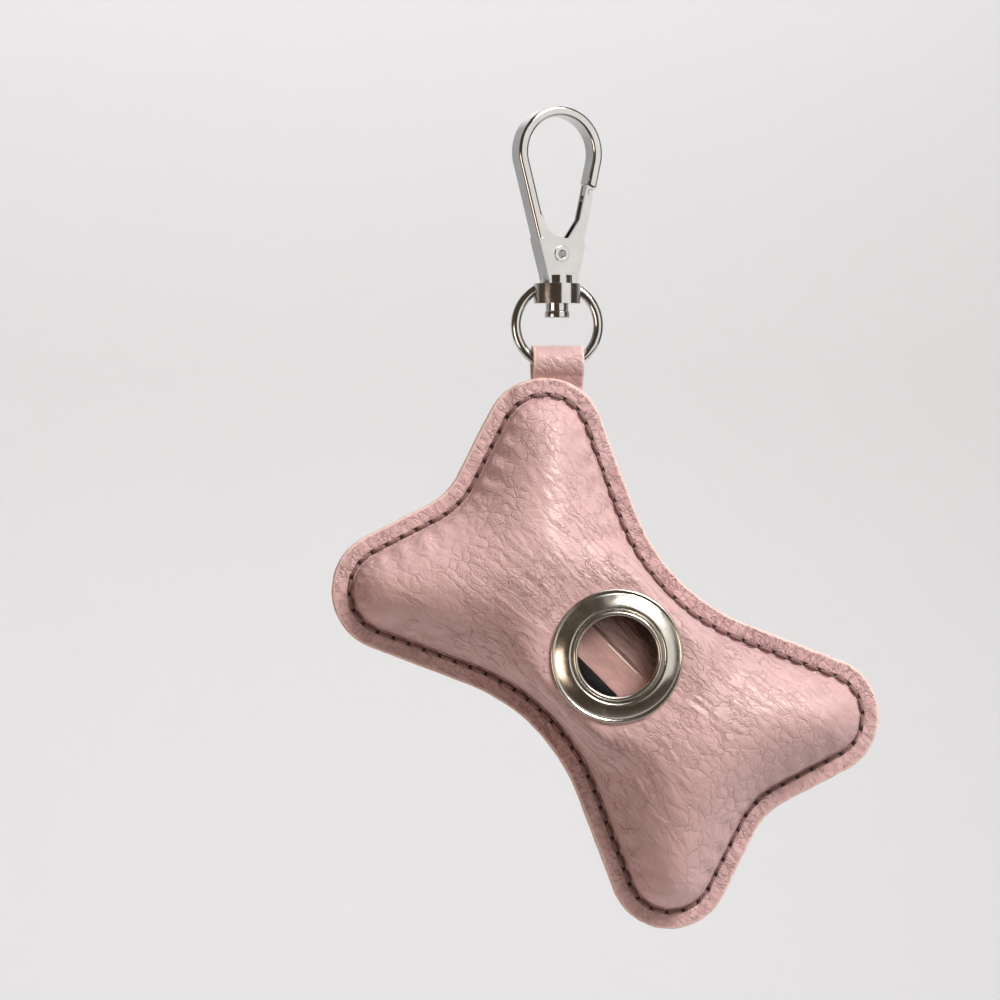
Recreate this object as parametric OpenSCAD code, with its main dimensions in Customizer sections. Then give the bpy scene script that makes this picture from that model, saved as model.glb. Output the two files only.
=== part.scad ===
// Bone-shaped leather pouch for a roll of waste bags, hanging from a trigger snap hook.
// Millimetres. +Z up, the front faces -Y, and the origin is the centre of the hook's bow.

/* [Pouch outline] */
// Distance of each lobe's centre from the middle, along the bone
lobe_u = 39.5; // [38:0.5:44]
// Distance of each lobe's centre from the bone's long axis
lobe_v = 21.5; // [19:0.5:23]
// Radius of a lobe at the raw edge
lobe_r = 12.1; // [11:0.1:13]
// Half width of the waist at the raw edge
waist_half = 20.8; // [20:0.1:23]
// Radius of the waist's hollow side
waist_r = 39; // [30:1:40]
// Distance from the middle to the notch in each end
notch_u = 45.9; // [44:0.1:48]
// Radius of the end notch
notch_r = 13; // [9:0.5:14]
// Middle of the bone, to the right of the swivel's axis
bone_x = 10; // [0:0.5:14]
// Turn of the bone's long axis below level, in degrees
bone_turn = 45; // [40:1:50]

/* [Leather] */
// Thickness of the leather panels
leather_t = 1.2; // [0.9:0.1:1.6]
// Raw edge to stitch line
stitch_in = 3.4; // [2.5:0.1:4]
// Raw edge to the foot of the bulge
seam_in = 4.4; // [4.2:0.1:5.2]
// Half thickness of the stuffed pouch
puff_h = 16; // [15.5:0.5:19]
// Height of the flat seat round the eyelet, from the seam's plane
front_seat = 15.3; // [15:0.1:17]
// Height of the flat seat round the loading mouth
back_seat = 14.4; // [14:0.1:16]
// Distance over which the wall rises from the seam
rise_w = 4.2; // [3.6:0.1:4.6]
// Pitch of the stitches
stitch_pitch = 3.3; // [2.8:0.1:4]
// Diameter of the sewing thread
thread_d = 0.6; // [0.4:0.05:0.8]

/* [Eyelet] */
// Outside radius of the eyelet's flange
flange_r = 13.25; // [12.5:0.25:13.5]
// Height of the flange's crown
flange_h = 1.7; // [1.2:0.1:2.2]
// Radius of the clear hole
eyelet_r = 8; // [7:0.25:8.5]
// Wall of the eyelet's barrel
barrel_t = 0.5; // [0.4:0.05:0.6]
// Thickness of the washer behind the leather
washer_t = 0.6; // [0.4:0.1:0.7]

/* [Bag roll] */
// Radius of the wound film
roll_r = 10.8; // [9:0.2:11]
// Length of the roll
roll_len = 54; // [48:1:55]
// Outside radius of the cardboard core
core_r = 5.2; // [4:0.1:6]
// Wall of the core
core_t = 1; // [0.6:0.1:1.4]
// Distance of the roll's axis in front of the seam's plane
roll_forward = 1.4; // [1:0.1:1.6]

/* [Mouth and flap] */
// Length of the loading mouth
mouth_len = 56; // [50:1:57]
// Width of the loading mouth
mouth_w = 12; // [10:0.5:12.5]
// Distance of the mouth's middle from the bone's long axis
mouth_v = 2; // [1.5:0.1:2.4]
// Length of the flap along its fold
flap_len = 64; // [62:1:68]
// Thickness of the flap's leather
flap_t = 1.2; // [0.9:0.1:1.5]
// Fold line of the flap, from the bone's long axis
fold_v = 10.2; // [10:0.1:10.6]
// Centre of the press stud, from the bone's long axis
snap_v = -9; // [-9.4:0.1:-8.8]
// Radius of the press stud's cap
cap_r = 4.8; // [4.2:0.1:5.2]
// Radius of the ball that the socket holds
ball_r = 1.9; // [1.6:0.1:2.1]

/* [Hook] */
// Inside radius of the bow
bow_in = 7.3; // [6.8:0.1:9]
// Width of the bar in the hook's plane
bar_w = 2; // [1.6:0.1:2.4]
// Thickness of the hook across its plane
hook_t = 4.2; // [3.8:0.1:5]
// Lean of the long leg
leg_lean = 15; // [13:0.5:17]
// Lean of the gate's side
gate_lean = 13; // [11:0.5:15]
// Depth of the gate's pivot below the bow's centre
pivot_z = 20.3; // [19.5:0.1:22]
// Turn of the hook about the swivel, against the pouch
hook_turn = 20; // [0:1:40]
// Radius of the tubular pin's shank
pin_r = 1.15; // [1:0.05:1.3]
// Radius of the hole down the tubular pin
pin_hole_r = 0.8; // [0.5:0.05:0.9]

/* [Swivel and ring] */
// Outside radius of the swivel boss
boss_r = 4.7; // [4.3:0.1:5]
// Height of the swivel boss
boss_h = 4; // [3.5:0.1:4.5]
// Radius of the swivel rivet's shank
rivet_r = 1.5; // [1.2:0.05:1.6]
// Radius to the middle of the ring's wire
ring_r = 8.3; // [8:0.1:10]
// Radius of the ring's wire
wire_r = 1; // [0.8:0.05:1.1]
// Width of the hanging strap
strap_w = 10.4; // [8:0.2:10.8]
// Thickness of the strap
strap_t = 1.05; // [0.8:0.05:1.2]

/* [Clearances] */
// Running clearance of pins and pivots, on the radius
run_gap = 0.06; // [0.03:0.01:0.1]
// Clearance between parts that pass each other
pass_gap = 0.15; // [0.1:0.01:0.25]
// Clearance round soft pieces
soft_gap = 0.3; // [0.2:0.05:0.4]

/* [Hidden] */
$fn = 48;

bow_mid = bow_in + bar_w / 2;
bow_out = bow_in + bar_w;
plate_top = -pivot_z + 3.2;
plate_step = plate_top - 7;
plate_end = plate_step - 2;
cheek_t = 0.75;
slot_w = hook_t - 2 * cheek_t;
gate_w = slot_w - 2 * pass_gap + 0.1;
gate_wall = 0.5;
gate_band = bar_w - 0.2;
hub_r = pin_r + 0.75;
// A point half way across the gate's bar, where it meets the nose
gate_top = 6.6;
tip_point = [(bow_mid - sin(gate_lean) * gate_top) / cos(gate_lean), -gate_top];
gate_reach = norm(tip_point + [0, pivot_z]);
tongue_len = 2.2;
tongue_t = gate_w - 2 * gate_wall - 2 * pass_gap;
lug_r = 0.45;

boss_top = plate_end - 0.1;
boss_end = boss_top - boss_h;
collar_h = 1.4;
collar_r = rivet_r + 0.8;
head_top = boss_end - collar_h - 0.05;
head_h = 1.4;
ring_z = boss_end - 4.3;
// The strap rests on the wire at its two edges, where the ring curves up
rest_in = ring_z - sqrt(pow(ring_r - wire_r, 2) - pow(strap_w / 2, 2));
rest_out = ring_z - sqrt(pow(ring_r + wire_r, 2) - pow(strap_w / 2, 2));
swing_z = (rest_in + rest_out) / 2;
loop_in = wire_r + 1.4;
loop_z = rest_in + 0.05 - loop_in;
loop_apex = loop_in + 0.65;
strap_sewn = 5.3;
strap_end = loop_z - loop_apex - strap_sewn;

// From the foot of the strap's loop to the middle of the bone
bone_drop = 55.3;
bone_z = loop_z - loop_apex - bone_drop;
lobe = [lobe_u, lobe_v];
waist_c = [0, waist_half + waist_r];
notch_c = [notch_u + notch_r, 0];

function lerp(a, b, t) = a + (b - a) * t;
function smooth(x) = let (t = min(1, max(0, x))) t * t * (3 - 2 * t);
function clamp(x, m) = max(-m, min(m, x));
function heading(p) = atan2(p[1], p[0]);
function spot(c, r, a) = c + r * [cos(a), sin(a)];
// Angle between the line of two circles' centres and the radius to their crossed tangent
function tangent_turn(c1, r1, c2, r2) = acos(min(1, (r1 + r2) / norm(c2 - c1)));
function arc_run(c, r, a0, a1, n) = [for (i = [0 : n - 1]) spot(c, r, lerp(a0, a1, i / n))];
function line_run(p, q, n) = [for (i = [0 : n - 1]) lerp(p, q, i / n)];

notch_a = heading(lobe - notch_c) + tangent_turn(notch_c, notch_r, lobe, lobe_r);
lobe_a0 = notch_a - 180;
lobe_a1 = heading(waist_c - lobe) - tangent_turn(lobe, lobe_r, waist_c, waist_r);
waist_a = lobe_a1 + 180;

// A quarter of the bone's outline, set in from the raw edge by m
function quarter(m) = concat(
    arc_run(notch_c, notch_r + m, 180, notch_a, 2),
    line_run(spot(notch_c, notch_r + m, notch_a), spot(lobe, lobe_r - m, lobe_a0), 3),
    arc_run(lobe, lobe_r - m, lobe_a0, lobe_a1, 8),
    line_run(spot(lobe, lobe_r - m, lobe_a1), spot(waist_c, waist_r + m, waist_a), 4),
    arc_run(waist_c, waist_r + m, waist_a, 270, 3),
    [[0, waist_half - m]]);
// The whole outline, anticlockwise seen with u to the right and v up
function outline(m) = let (q = quarter(m), n = len(q) - 1) concat(
    [for (i = [0 : n - 1]) q[i]],
    [for (i = [n : -1 : 1]) [-q[i][0], q[i][1]]],
    [for (i = [0 : n - 1]) -q[i]],
    [for (i = [n : -1 : 1]) [q[i][0], -q[i][1]]]);

seam = outline(seam_in);
seam_n = len(seam);
// A distance from the seam that stays smooth where the true one has a ridge
function spread(p) = sqrt(2 / max(0.001, sum([for (i = [0 : seam_n - 1])
    let (a = seam[i], b = seam[(i + 1) % seam_n]) norm(b - a) / pow(norm(p - (a + b) / 2), 3)])));
function sum(list) = list * [for (x = list) 1];
middle_spread = spread([0, 0]);

seat_near = 15;
seat_far = 24;
back_near = 37.5;
back_far = 44;
// Height of the leather over the seam's plane at p, which lies d in from the seam
function rise(d) = sqrt(max(0, 1 - pow(1 - min(d, rise_w) / rise_w, 2)));
function dome(p, d, h) = let (s = d < 4 ? lerp(d, spread(p), d / 4) : spread(p))
    h * pow(s / middle_spread, 0.52);
function front_weight(p) = smooth((seat_far - norm(p)) / (seat_far - seat_near));
function back_weight(p) = smooth((back_far - abs(p[0])) / (back_far - back_near));
function height(p, d, back, t) = let (w = back ? back_weight(p) : front_weight(p))
    lerp(dome(p, d, puff_h - t), ((back ? back_seat : front_seat) - t) * rise(d), w);

// The seam's plane parts where the strap is sewn in between the panels
function world_x(p) = bone_x + p[0] * cos(bone_turn) + p[1] * sin(bone_turn);
function world_z(p) = bone_z - p[0] * sin(bone_turn) + p[1] * cos(bone_turn);
function strap_lift(p) = world_z(p) < bone_z + 30 ? 0
    : (strap_t + 0.25) * smooth((strap_w / 2 + 5.5 - abs(world_x(p))) / 3.2);

function raised(p, h, side) = [p[0], side * (h + strap_lift(p) * max(0, 1 - h / 7)), p[1]];
function hole_ring(half_len, r, v) = [for (p = outline(seam_in + rise_w))
    let (c = [clamp(p[0] * 0.62, half_len), v], e = p - c) c + r * e / norm(e)];

// Rings of one face of a panel: out along the wall, then in to the hole's edge
function face_rings(base_in, steps, shares, half_len, r, v, back, t, side) = let (
    last = outline(base_in + steps[len(steps) - 1]),
    hole = hole_ring(half_len, r, v)) concat(
    [for (d = steps) [for (p = outline(base_in + d)) raised(p, height(p, d, back, t), side)]],
    [for (s = shares) [for (i = [0 : seam_n - 1])
        let (p = lerp(last[i], hole[i], s)) raised(p, height(p, 2 * rise_w, back, t), side)]]);

module ring_solid(rings, flip) {
    n = len(rings[0]);
    m = len(rings);
    points = [for (ring = rings) for (p = ring) p];
    faces = [for (k = [0 : m - 1]) for (i = [0 : n - 1])
        let (a = k * n + i, b = k * n + (i + 1) % n,
             c = ((k + 1) % m) * n + (i + 1) % n, d = ((k + 1) % m) * n + i)
        each (flip ? [[a, c, b], [a, d, c]] : [[a, b, c], [a, c, d]])];
    polyhedron(points, faces);
}

// One domed leather panel with its flat sewing margin and its hole
module panel(half_len, r, v, back) {
    side = back ? 1 : -1;
    edge = outline(0);
    outer = face_rings(seam_in, [0, 0.5, 1.4, 2.8, 4.6], [0.15, 0.32, 0.5, 0.68, 0.85, 1],
        half_len, r, v, back, 0, side);
    inner = face_rings(seam_in + leather_t, [0, 1.4, 2.8, 4.1], [0.3, 0.6, 0.85, 1],
        half_len, r, v, back, leather_t, side);
    lifted = [for (ring = outer) [for (p = ring) abs(p[1]) < leather_t
        ? [p[0], side * max(abs(p[1]), leather_t + strap_lift([p[0], p[2]])), p[2]] : p]];
    raw_out = [for (p = edge) [p[0], side * (leather_t + strap_lift(p)), p[1]]];
    raw_in = [for (p = edge) [p[0], side * strap_lift(p), p[1]]];
    backwards = [for (k = [len(inner) - 1 : -1 : 0]) inner[k]];
    ring_solid(concat([raw_in, raw_out], lifted, backwards), !back);
}

// Places a piece drawn along the bone: x runs along the bone and z across it
module on_bone() translate([bone_x, 0, bone_z]) rotate([0, bone_turn, 0]) children();
// Draws a profile of (x, z) as a plate lying in the XZ plane, centred on Y
module upright(t) rotate([90, 0, 0]) linear_extrude(t, center = true) children();
// Turns a revolved piece so that its axis points to the front
module to_front() rotate([90, 0, 0]) children();
module to_back() rotate([-90, 0, 0]) children();
module in_hook() rotate([0, 0, hook_turn]) children();

module ring_profile(r0, r1, z0, z1) translate([r0, z0]) square([r1 - r0, z1 - z0]);

module front_panel() color("#c9a09b") on_bone()
    panel(0, eyelet_r + barrel_t + 0.5, 0, false);

module back_panel() color("#c29993") on_bone()
    panel((mouth_len - mouth_w) / 2, mouth_w / 2, mouth_v, true);

washer_y = front_seat - leather_t;
barrel_lip = 0.1;
barrel_end = washer_y - washer_t - barrel_lip - 0.02;
// The flange swells from its rim to a crown, dips, and rolls over into the hole
module eyelet_front() color("#b9b4aa") on_bone() to_front() {
    crown_r = lerp(eyelet_r, flange_r, 0.45);
    rotate_extrude() {
        difference() {
            polygon(concat(
                [[eyelet_r + barrel_t, front_seat + 0.05], [flange_r, front_seat + 0.05]],
                [for (i = [0 : 6]) let (t = i / 6)
                    [lerp(flange_r, crown_r, t), front_seat + 0.35 + (flange_h - 0.35) * sin(90 * t)]],
                [[eyelet_r + 1.1, front_seat + flange_h - 0.3],
                 [eyelet_r + barrel_t, front_seat + flange_h - 0.4]]));
            ring_profile(0, eyelet_r, 0, 40);
        }
        translate([eyelet_r + barrel_t, front_seat + flange_h - 0.4]) circle(barrel_t, $fn = 32);
        ring_profile(eyelet_r, eyelet_r + barrel_t, barrel_end, front_seat + flange_h - 0.4);
        ring_profile(eyelet_r, eyelet_r + 1.3, barrel_end, barrel_end + barrel_lip);
    }
}

module eyelet_washer() color("#a9a49a") on_bone() to_front() rotate_extrude()
    ring_profile(eyelet_r + barrel_t + run_gap, eyelet_r + 2.9, washer_y - washer_t, washer_y - 0.02);

// A drop-shaped loop round the wire, closing to two legs that are sewn in between the panels
module drop(r, apex) {
    turn = acos(r / apex);
    polygon(concat([for (i = [0 : 40]) spot([0, 0], r, lerp(turn - 90, 270 - turn, i / 40))], [[0, -apex]]));
}
module hanging_strap() color("#c8a7a2") rotate([90, 0, 90])
    linear_extrude(strap_w, center = true) translate([0, loop_z]) difference() {
        union() {
            drop(loop_in + strap_t, loop_apex * (loop_in + strap_t) / loop_in);
            translate([-strap_t, strap_end - loop_z]) square([2 * strap_t, loop_z - strap_end]);
        }
        drop(loop_in, loop_apex);
    }

// Stitches lie on both faces of the margin, one in each pitch along the stitch line
stitch_edge = outline(0);
stitch_flat = outline(stitch_in);
stitch_line = [for (i = [0 : seam_n - 1]) let (p = stitch_flat[i])
    [p[0], lerp(strap_lift(stitch_edge[i]), strap_lift(seam[i]), stitch_in / seam_in), p[1]]];
stitch_steps = [for (i = [0 : seam_n - 1]) norm(stitch_line[(i + 1) % seam_n] - stitch_line[i])];
stitch_sums = [for (i = 0, s = 0; i <= seam_n; s = s + (i < seam_n ? stitch_steps[i] : 0), i = i + 1) s];
stitch_total = stitch_sums[seam_n];
stitch_count = round(stitch_total / stitch_pitch);
function stitch_at(l, i = 0) = i >= seam_n - 1 || stitch_sums[i + 1] >= l
    ? lerp(stitch_line[i], stitch_line[(i + 1) % seam_n],
           min(1, (l - stitch_sums[i]) / stitch_steps[i]))
    : stitch_at(l, i + 1);
module bar_between(p, q, r) {
    d = q - p;
    translate(p) rotate([0, acos(d[2] / norm(d)), atan2(d[1], d[0])]) cylinder(norm(d), r, r, $fn = 16);
}
module seam_thread() color("#b98f8b") on_bone()
    for (k = [0 : stitch_count - 1]) for (side = [-1, 1]) {
        step = stitch_total / stitch_count;
        a = stitch_at((k + 0.15) * step);
        b = stitch_at((k + 0.85) * step);
        rest = leather_t + thread_d / 2 + (max(a[1], b[1]) > 0 ? 0.2 : 0.05);
        bar_between([a[0], side * (rest + a[1]), a[2]], [b[0], side * (rest + b[1]), b[2]], thread_d / 2);
    }

// A black cloth sleeve round the roll, cut open to the eyelet and to the mouth
pocket_in = roll_r + 1.3;
pocket_t = 0.3;
module along_roll() translate([0, -roll_forward, 0]) rotate([0, 90, 0]) children();
module bag_pocket() color("#1c1a19") on_bone() difference() {
    along_roll() cylinder(roll_len + 1.2, pocket_in + pocket_t, pocket_in + pocket_t, center = true);
    along_roll() cylinder(roll_len + 4, pocket_in, pocket_in, center = true);
    // Seen through the eyelet, the sleeve begins where the film's free end stops
    translate([-flange_r, -30, -tail_free - 0.1]) cube([2 * flange_r, 30 - 5, flange_r + tail_free + 0.1]);
    translate([-roll_len, 4, mouth_v - mouth_w / 2 - 1.5])
        cube([2 * roll_len, 30, mouth_w + 3]);
}

// A pear-shaped wad of stuffing that fills one lobe
pad_r = lobe_r - seam_in - leather_t - soft_gap;
module lobe_pad(su, sv) {
    inner_r = pad_r - 1.2;
    inner = [lobe_u - 3.6, lobe_v - 8.6];
    d = norm(lobe - inner);
    turn = acos((pad_r - inner_r) / d);
    color("#efe9df") on_bone() translate([su * inner[0], 0, sv * inner[1]])
        rotate([0, -atan2(sv * (lobe_v - inner[1]), su * (lobe_u - inner[0])), 0])
        rotate([0, 90, 0]) rotate_extrude() intersection() {
            union() {
                circle(inner_r);
                translate([0, d]) circle(pad_r);
                polygon([[0, 0], [inner_r * sin(turn), -inner_r * cos(turn)],
                         [pad_r * sin(turn), d - pad_r * cos(turn)], [0, d]]);
            }
            translate([0, -inner_r - 1]) square([pad_r + 1, d + inner_r + pad_r + 2]);
        }
}
module lobe_pad_top() lobe_pad(-1, 1);
module lobe_pad_left() lobe_pad(-1, -1);
module lobe_pad_right() lobe_pad(1, 1);
module lobe_pad_bottom() lobe_pad(1, -1);

module bag_roll() color("#c79a94") on_bone() along_roll() difference() {
    cylinder(roll_len, roll_r, roll_r, center = true, $fn = 64);
    cylinder(roll_len + 2, core_r, core_r, center = true);
}
module roll_core() color("#c8b28e") on_bone() along_roll() difference() {
    cylinder(roll_len, core_r, core_r, center = true);
    cylinder(roll_len + 2, core_r - core_t, core_r - core_t, center = true);
}
// The free end of the outer bag, which stands a little off the roll under the eyelet
tail_t = 0.3;
tail_free = 5.2;
tail_in = roll_r + 0.05;
tail_mid = roll_r - 0.12;
tail_end = roll_r - 0.48;
module bag_tail() color("#cfa49e") on_bone() translate([0, -roll_forward, 0]) rotate([90, 0, 90])
    linear_extrude(roll_len - 6, center = true) {
        intersection() {
            difference() {
                circle(tail_in + tail_t, $fn = 64);
                circle(tail_in, $fn = 64);
            }
            translate([-20, 0]) square([20, 20]);
        }
        polygon([[-tail_in - tail_t + 0.02, 0.2], [-tail_mid - tail_t, -tail_free * 0.58],
                 [-tail_end - tail_t, -tail_free], [-tail_end, -tail_free],
                 [-tail_mid, -tail_free * 0.58], [-tail_in - 0.02, 0.2]]);
    }

// The press stud: a ball held by a post on the pouch, and a socket held by a cap on the flap
flap_y = back_seat + 0.15;
snap_base_r = 3.5;
ball_h = 1.6;
module snap_stud() color("#b0aba2") on_bone() translate([0, back_seat, snap_v]) to_back() {
    cylinder(0.1, snap_base_r, snap_base_r);
    cylinder(flap_t + 0.5, ball_r - 0.5, ball_r - 0.5);
    translate([0, 0, flap_t + 0.2]) rotate_extrude() {
        square([ball_r - 0.4, ball_h - 0.2]);
        intersection() {
            translate([ball_r - ball_h / 2, ball_h / 2]) circle(ball_h / 2, $fn = 32);
            square([ball_r, ball_h]);
        }
    }
}
module snap_post() color("#a8a39a") on_bone() translate([0, back_seat - leather_t - 0.01, snap_v]) to_front()
    cylinder(0.6, 2.1, 2.1);

socket_r = ball_r + 0.2;
socket_h = flap_t + ball_h + 0.2;
module snap_socket() color("#b0aba2") on_bone() translate([0, flap_y + 0.02, snap_v]) to_back() difference() {
    cylinder(socket_h, socket_r + 0.5, socket_r + 0.5);
    translate([0, 0, -1]) cylinder(socket_h + 2, socket_r, socket_r);
}
module snap_cap() color("#bdb8ae") on_bone() translate([0, flap_y + flap_t, snap_v]) to_back() {
    crown = socket_h - flap_t + 0.1;
    difference() {
        union() {
            cylinder(0.5, cap_r, cap_r);
            translate([0, 0, 0.5]) cylinder(crown, cap_r, cap_r * 0.72);
        }
        translate([0, 0, -1]) cylinder(1 + crown - 0.08, socket_r + 0.52, socket_r + 0.52);
    }
}

// The flap covers the mouth and narrows to a tongue at the press stud
tongue_half = 9;
flap_low = snap_v - cap_r - 0.6;
flap_side = mouth_v - mouth_w / 2 - 2;
flap_corner = 3;
module flap_outline() {
    half = flap_len / 2;
    translate([-half, flap_side + flap_corner]) square([flap_len, fold_v - flap_side - flap_corner]);
    translate([-half + flap_corner, flap_side]) square([flap_len - 2 * flap_corner, flap_corner + 0.5]);
    for (s = [-1, 1]) translate([s * (half - flap_corner), flap_side + flap_corner]) circle(flap_corner);
    polygon([[-tongue_half - 8, flap_side + 0.5], [-tongue_half - 8, flap_side],
             [-tongue_half + 4, snap_v], [tongue_half - 4, snap_v],
             [tongue_half + 8, flap_side], [tongue_half + 8, flap_side + 0.5]]);
    translate([0, snap_v]) circle(cap_r + 0.6);
}
module back_flap() color("#c79d97") on_bone() translate([0, flap_y + flap_t / 2, 0]) difference() {
    upright(flap_t) flap_outline();
    translate([0, 0, snap_v]) to_front() cylinder(9, socket_r + 0.5, socket_r + 0.5, center = true);
}
// The sewn strip that the flap folds from
hem_w = 2.8;
module flap_hem() color("#bf958f") on_bone() translate([-flap_len / 2, back_seat + 0.02, fold_v + pass_gap])
    cube([flap_len, flap_t, hem_w]);
module flap_thread() color("#b98f8b") on_bone() {
    count = floor(flap_len / stitch_pitch) - 1;
    for (k = [0 : count - 1])
        translate([(k - count / 2 + 0.15) * stitch_pitch, back_seat + 0.02 + flap_t + thread_d / 2,
                   fold_v + pass_gap + hem_w / 2])
        rotate([0, 90, 0]) cylinder(stitch_pitch * 0.7, thread_d / 2, thread_d / 2, $fn = 16);
}

// A bar with rounded corners, drawn across its own length
module bar_section(w, t, r) {
    for (i = [-1, 1]) for (j = [-1, 1])
        translate([i * (w / 2 - r), j * (t / 2 - r)]) circle(r, $fn = 24);
    square([w, t - 2 * r], center = true);
    square([w - 2 * r, t], center = true);
}
// A point on the line that touches a circle of radius r at the lean of the leg or the gate
function leg_x(r, z) = -(r + sin(leg_lean) * z) / cos(leg_lean);
function gate_x(r, z) = (r + sin(gate_lean) * z) / cos(gate_lean);

bar_round = 0.6;
// The straight ends run this far into the bow, and are this much slimmer
bow_lap = 0.3;
bar_fit = 0.02;
fillet_r = 4.5;
fillet_z = plate_top + fillet_r;
fillet_x = leg_x(bow_in - fillet_r, fillet_z);
module plate_outline() {
    polygon([[leg_x(bow_out, plate_top), plate_top], [leg_x(bow_out, plate_end), plate_end],
             [gate_x(bow_out, plate_end), plate_end], [gate_x(bow_out, plate_top - 1.2), plate_top - 1.2],
             [gate_x(bow_out, plate_top) - 1.3, plate_top]]);
    difference() {
        polygon([[leg_x(bow_mid, fillet_z), fillet_z], [leg_x(bow_mid, plate_top), plate_top - 0.1],
                 [fillet_x, plate_top - 0.1], [fillet_x, plate_top + 0.01], [fillet_x, fillet_z]]);
        translate([fillet_x, fillet_z]) circle(fillet_r);
    }
}
// The room that the gate needs between the cheeks, from shut to open
module gate_slot() {
    translate([0, -pivot_z]) {
        circle(hub_r + pass_gap + 0.1);
        translate([-1.6, 0]) square([10, 8]);
        translate([0, -hub_r - pass_gap - 0.3]) square([10, hub_r + pass_gap + 1]);
    }
}
module hook_body() color("silver") in_hook() difference() {
    union() {
        to_front() {
            rotate([0, 0, -gate_lean]) rotate_extrude(angle = 180 + leg_lean + gate_lean, $fn = 96)
                translate([bow_mid, 0]) bar_section(bar_w, hook_t, bar_round);
            rotate([0, 0, 180 + leg_lean]) translate([bow_mid, -bow_lap, 0]) rotate([-90, 0, 0])
                linear_extrude(pivot_z + 1) bar_section(bar_w - bar_fit, hook_t - bar_fit, bar_round);
            difference() {
                rotate([0, 0, -gate_lean]) translate([bow_mid, bow_lap, 0]) rotate([90, 0, 0])
                    linear_extrude(8) bar_section(bar_w - bar_fit, hook_t - bar_fit, bar_round);
                translate([0, -pivot_z, 0])
                    cylinder(hook_t + 2, gate_reach + pass_gap, gate_reach + pass_gap, center = true, $fn = 96);
            }
            nose_tongue();
        }
        difference() {
            upright(hook_t) plate_outline();
            upright(slot_w) gate_slot();
        }
        // The foot that the swivel bears on
        translate([0, 0, plate_end]) cylinder(1.6, 3.1, 3.1);
    }
    // Step across the foot of the plate, on both faces
    for (s = [-1, 1]) translate([0, s * (hook_t / 2), (plate_step + plate_end) / 2 + 0.8])
        cube([20, 0.5, 0.25], center = true);
    to_front() translate([0, -pivot_z, 0]) cylinder(hook_t + 2, pin_r, pin_r, center = true, $fn = 32);
    translate([0, 0, plate_end - 1]) cylinder(1 + rivet_in, rivet_r, rivet_r, $fn = 32);
}
rivet_in = 2.6;
// The nose ends in a thin tongue with a cross lug, which the gate's forked end straddles
module nose_tongue() {
    intersection() {
        rotate([0, 0, -gate_lean]) translate([bow_mid, 0, 0]) rotate([90, 0, 0])
            linear_extrude(12) square([bar_w - 0.4, tongue_t], center = true);
        translate([0, -pivot_z, 0]) difference() {
            cylinder(hook_t, gate_reach + 1, gate_reach + 1, center = true, $fn = 96);
            cylinder(hook_t + 1, gate_reach - tongue_len, gate_reach - tongue_len, center = true, $fn = 96);
        }
    }
    translate([lug_point[0], lug_point[1], 0]) cylinder(gate_w, lug_r, lug_r, center = true, $fn = 24);
}
lug_z = -gate_top - 1.1;
lug_point = [gate_x(bow_mid + 0.15, lug_z), lug_z];

module gate_side() {
    intersection() {
        rotate([0, 0, -gate_lean]) translate([bow_out - 0.1 - gate_band, -pivot_z]) square([gate_band, 20]);
        translate([0, -pivot_z]) circle(gate_reach, $fn = 96);
    }
    translate([0, -pivot_z]) circle(hub_r);
    polygon([[0, -pivot_z - hub_r], [gate_x(bow_out - 0.1, -pivot_z) - 1.6, -pivot_z - hub_r],
             [gate_x(bow_out - 0.1, -pivot_z), -pivot_z - 0.6],
             [gate_x(bow_out - 0.1, -pivot_z + 6), -pivot_z + 6],
             [gate_x(bow_out - 0.1 - gate_band, -pivot_z + 7), -pivot_z + 7],
             [0.9, -pivot_z + hub_r - 0.2]]);
}
// The inside of the channel, open towards the bow and at the forked end
module gate_hollow() {
    difference() {
        translate([-6, -pivot_z - 6]) square([30, 30]);
        difference() {
            rotate([0, 0, -gate_lean]) translate([bow_out - 0.1 - gate_wall, -pivot_z - 6]) square([4, 40]);
            translate([0, -pivot_z]) difference() {
                circle(40);
                circle(gate_reach - tongue_len - pass_gap - 0.2, $fn = 96);
            }
        }
    }
}
module gate() color("gainsboro") in_hook() difference() {
    upright(gate_w) gate_side();
    upright(gate_w - 2 * gate_wall) gate_hollow();
    to_front() {
        translate([0, -pivot_z, 0])
            cylinder(gate_w + 2, pin_r + run_gap, pin_r + run_gap, center = true, $fn = 32);
        // Notches that slip over the lug, open to the outside
        translate([lug_point[0], lug_point[1], 0]) {
            cylinder(gate_w + 1, lug_r + 0.1, lug_r + 0.1, center = true, $fn = 24);
            rotate([0, 0, heading(lug_point + [0, pivot_z]) - 90])
                translate([0, -lug_r - 0.1, -gate_w]) cube([4, 2 * lug_r + 0.2, 2 * gate_w]);
        }
    }
}
module gate_pin() color("#a7a7a7") in_hook() to_front() translate([0, -pivot_z, 0]) difference() {
    union() {
        cylinder(hook_t + 0.3, pin_r, pin_r, center = true, $fn = 32);
        for (s = [-1, 1]) translate([0, 0, s * (hook_t / 2 + 0.12)])
            cylinder(0.2, pin_r + 0.45, pin_r + 0.45, center = true, $fn = 32);
    }
    cylinder(hook_t + 2, pin_hole_r, pin_hole_r, center = true, $fn = 32);
}
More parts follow.
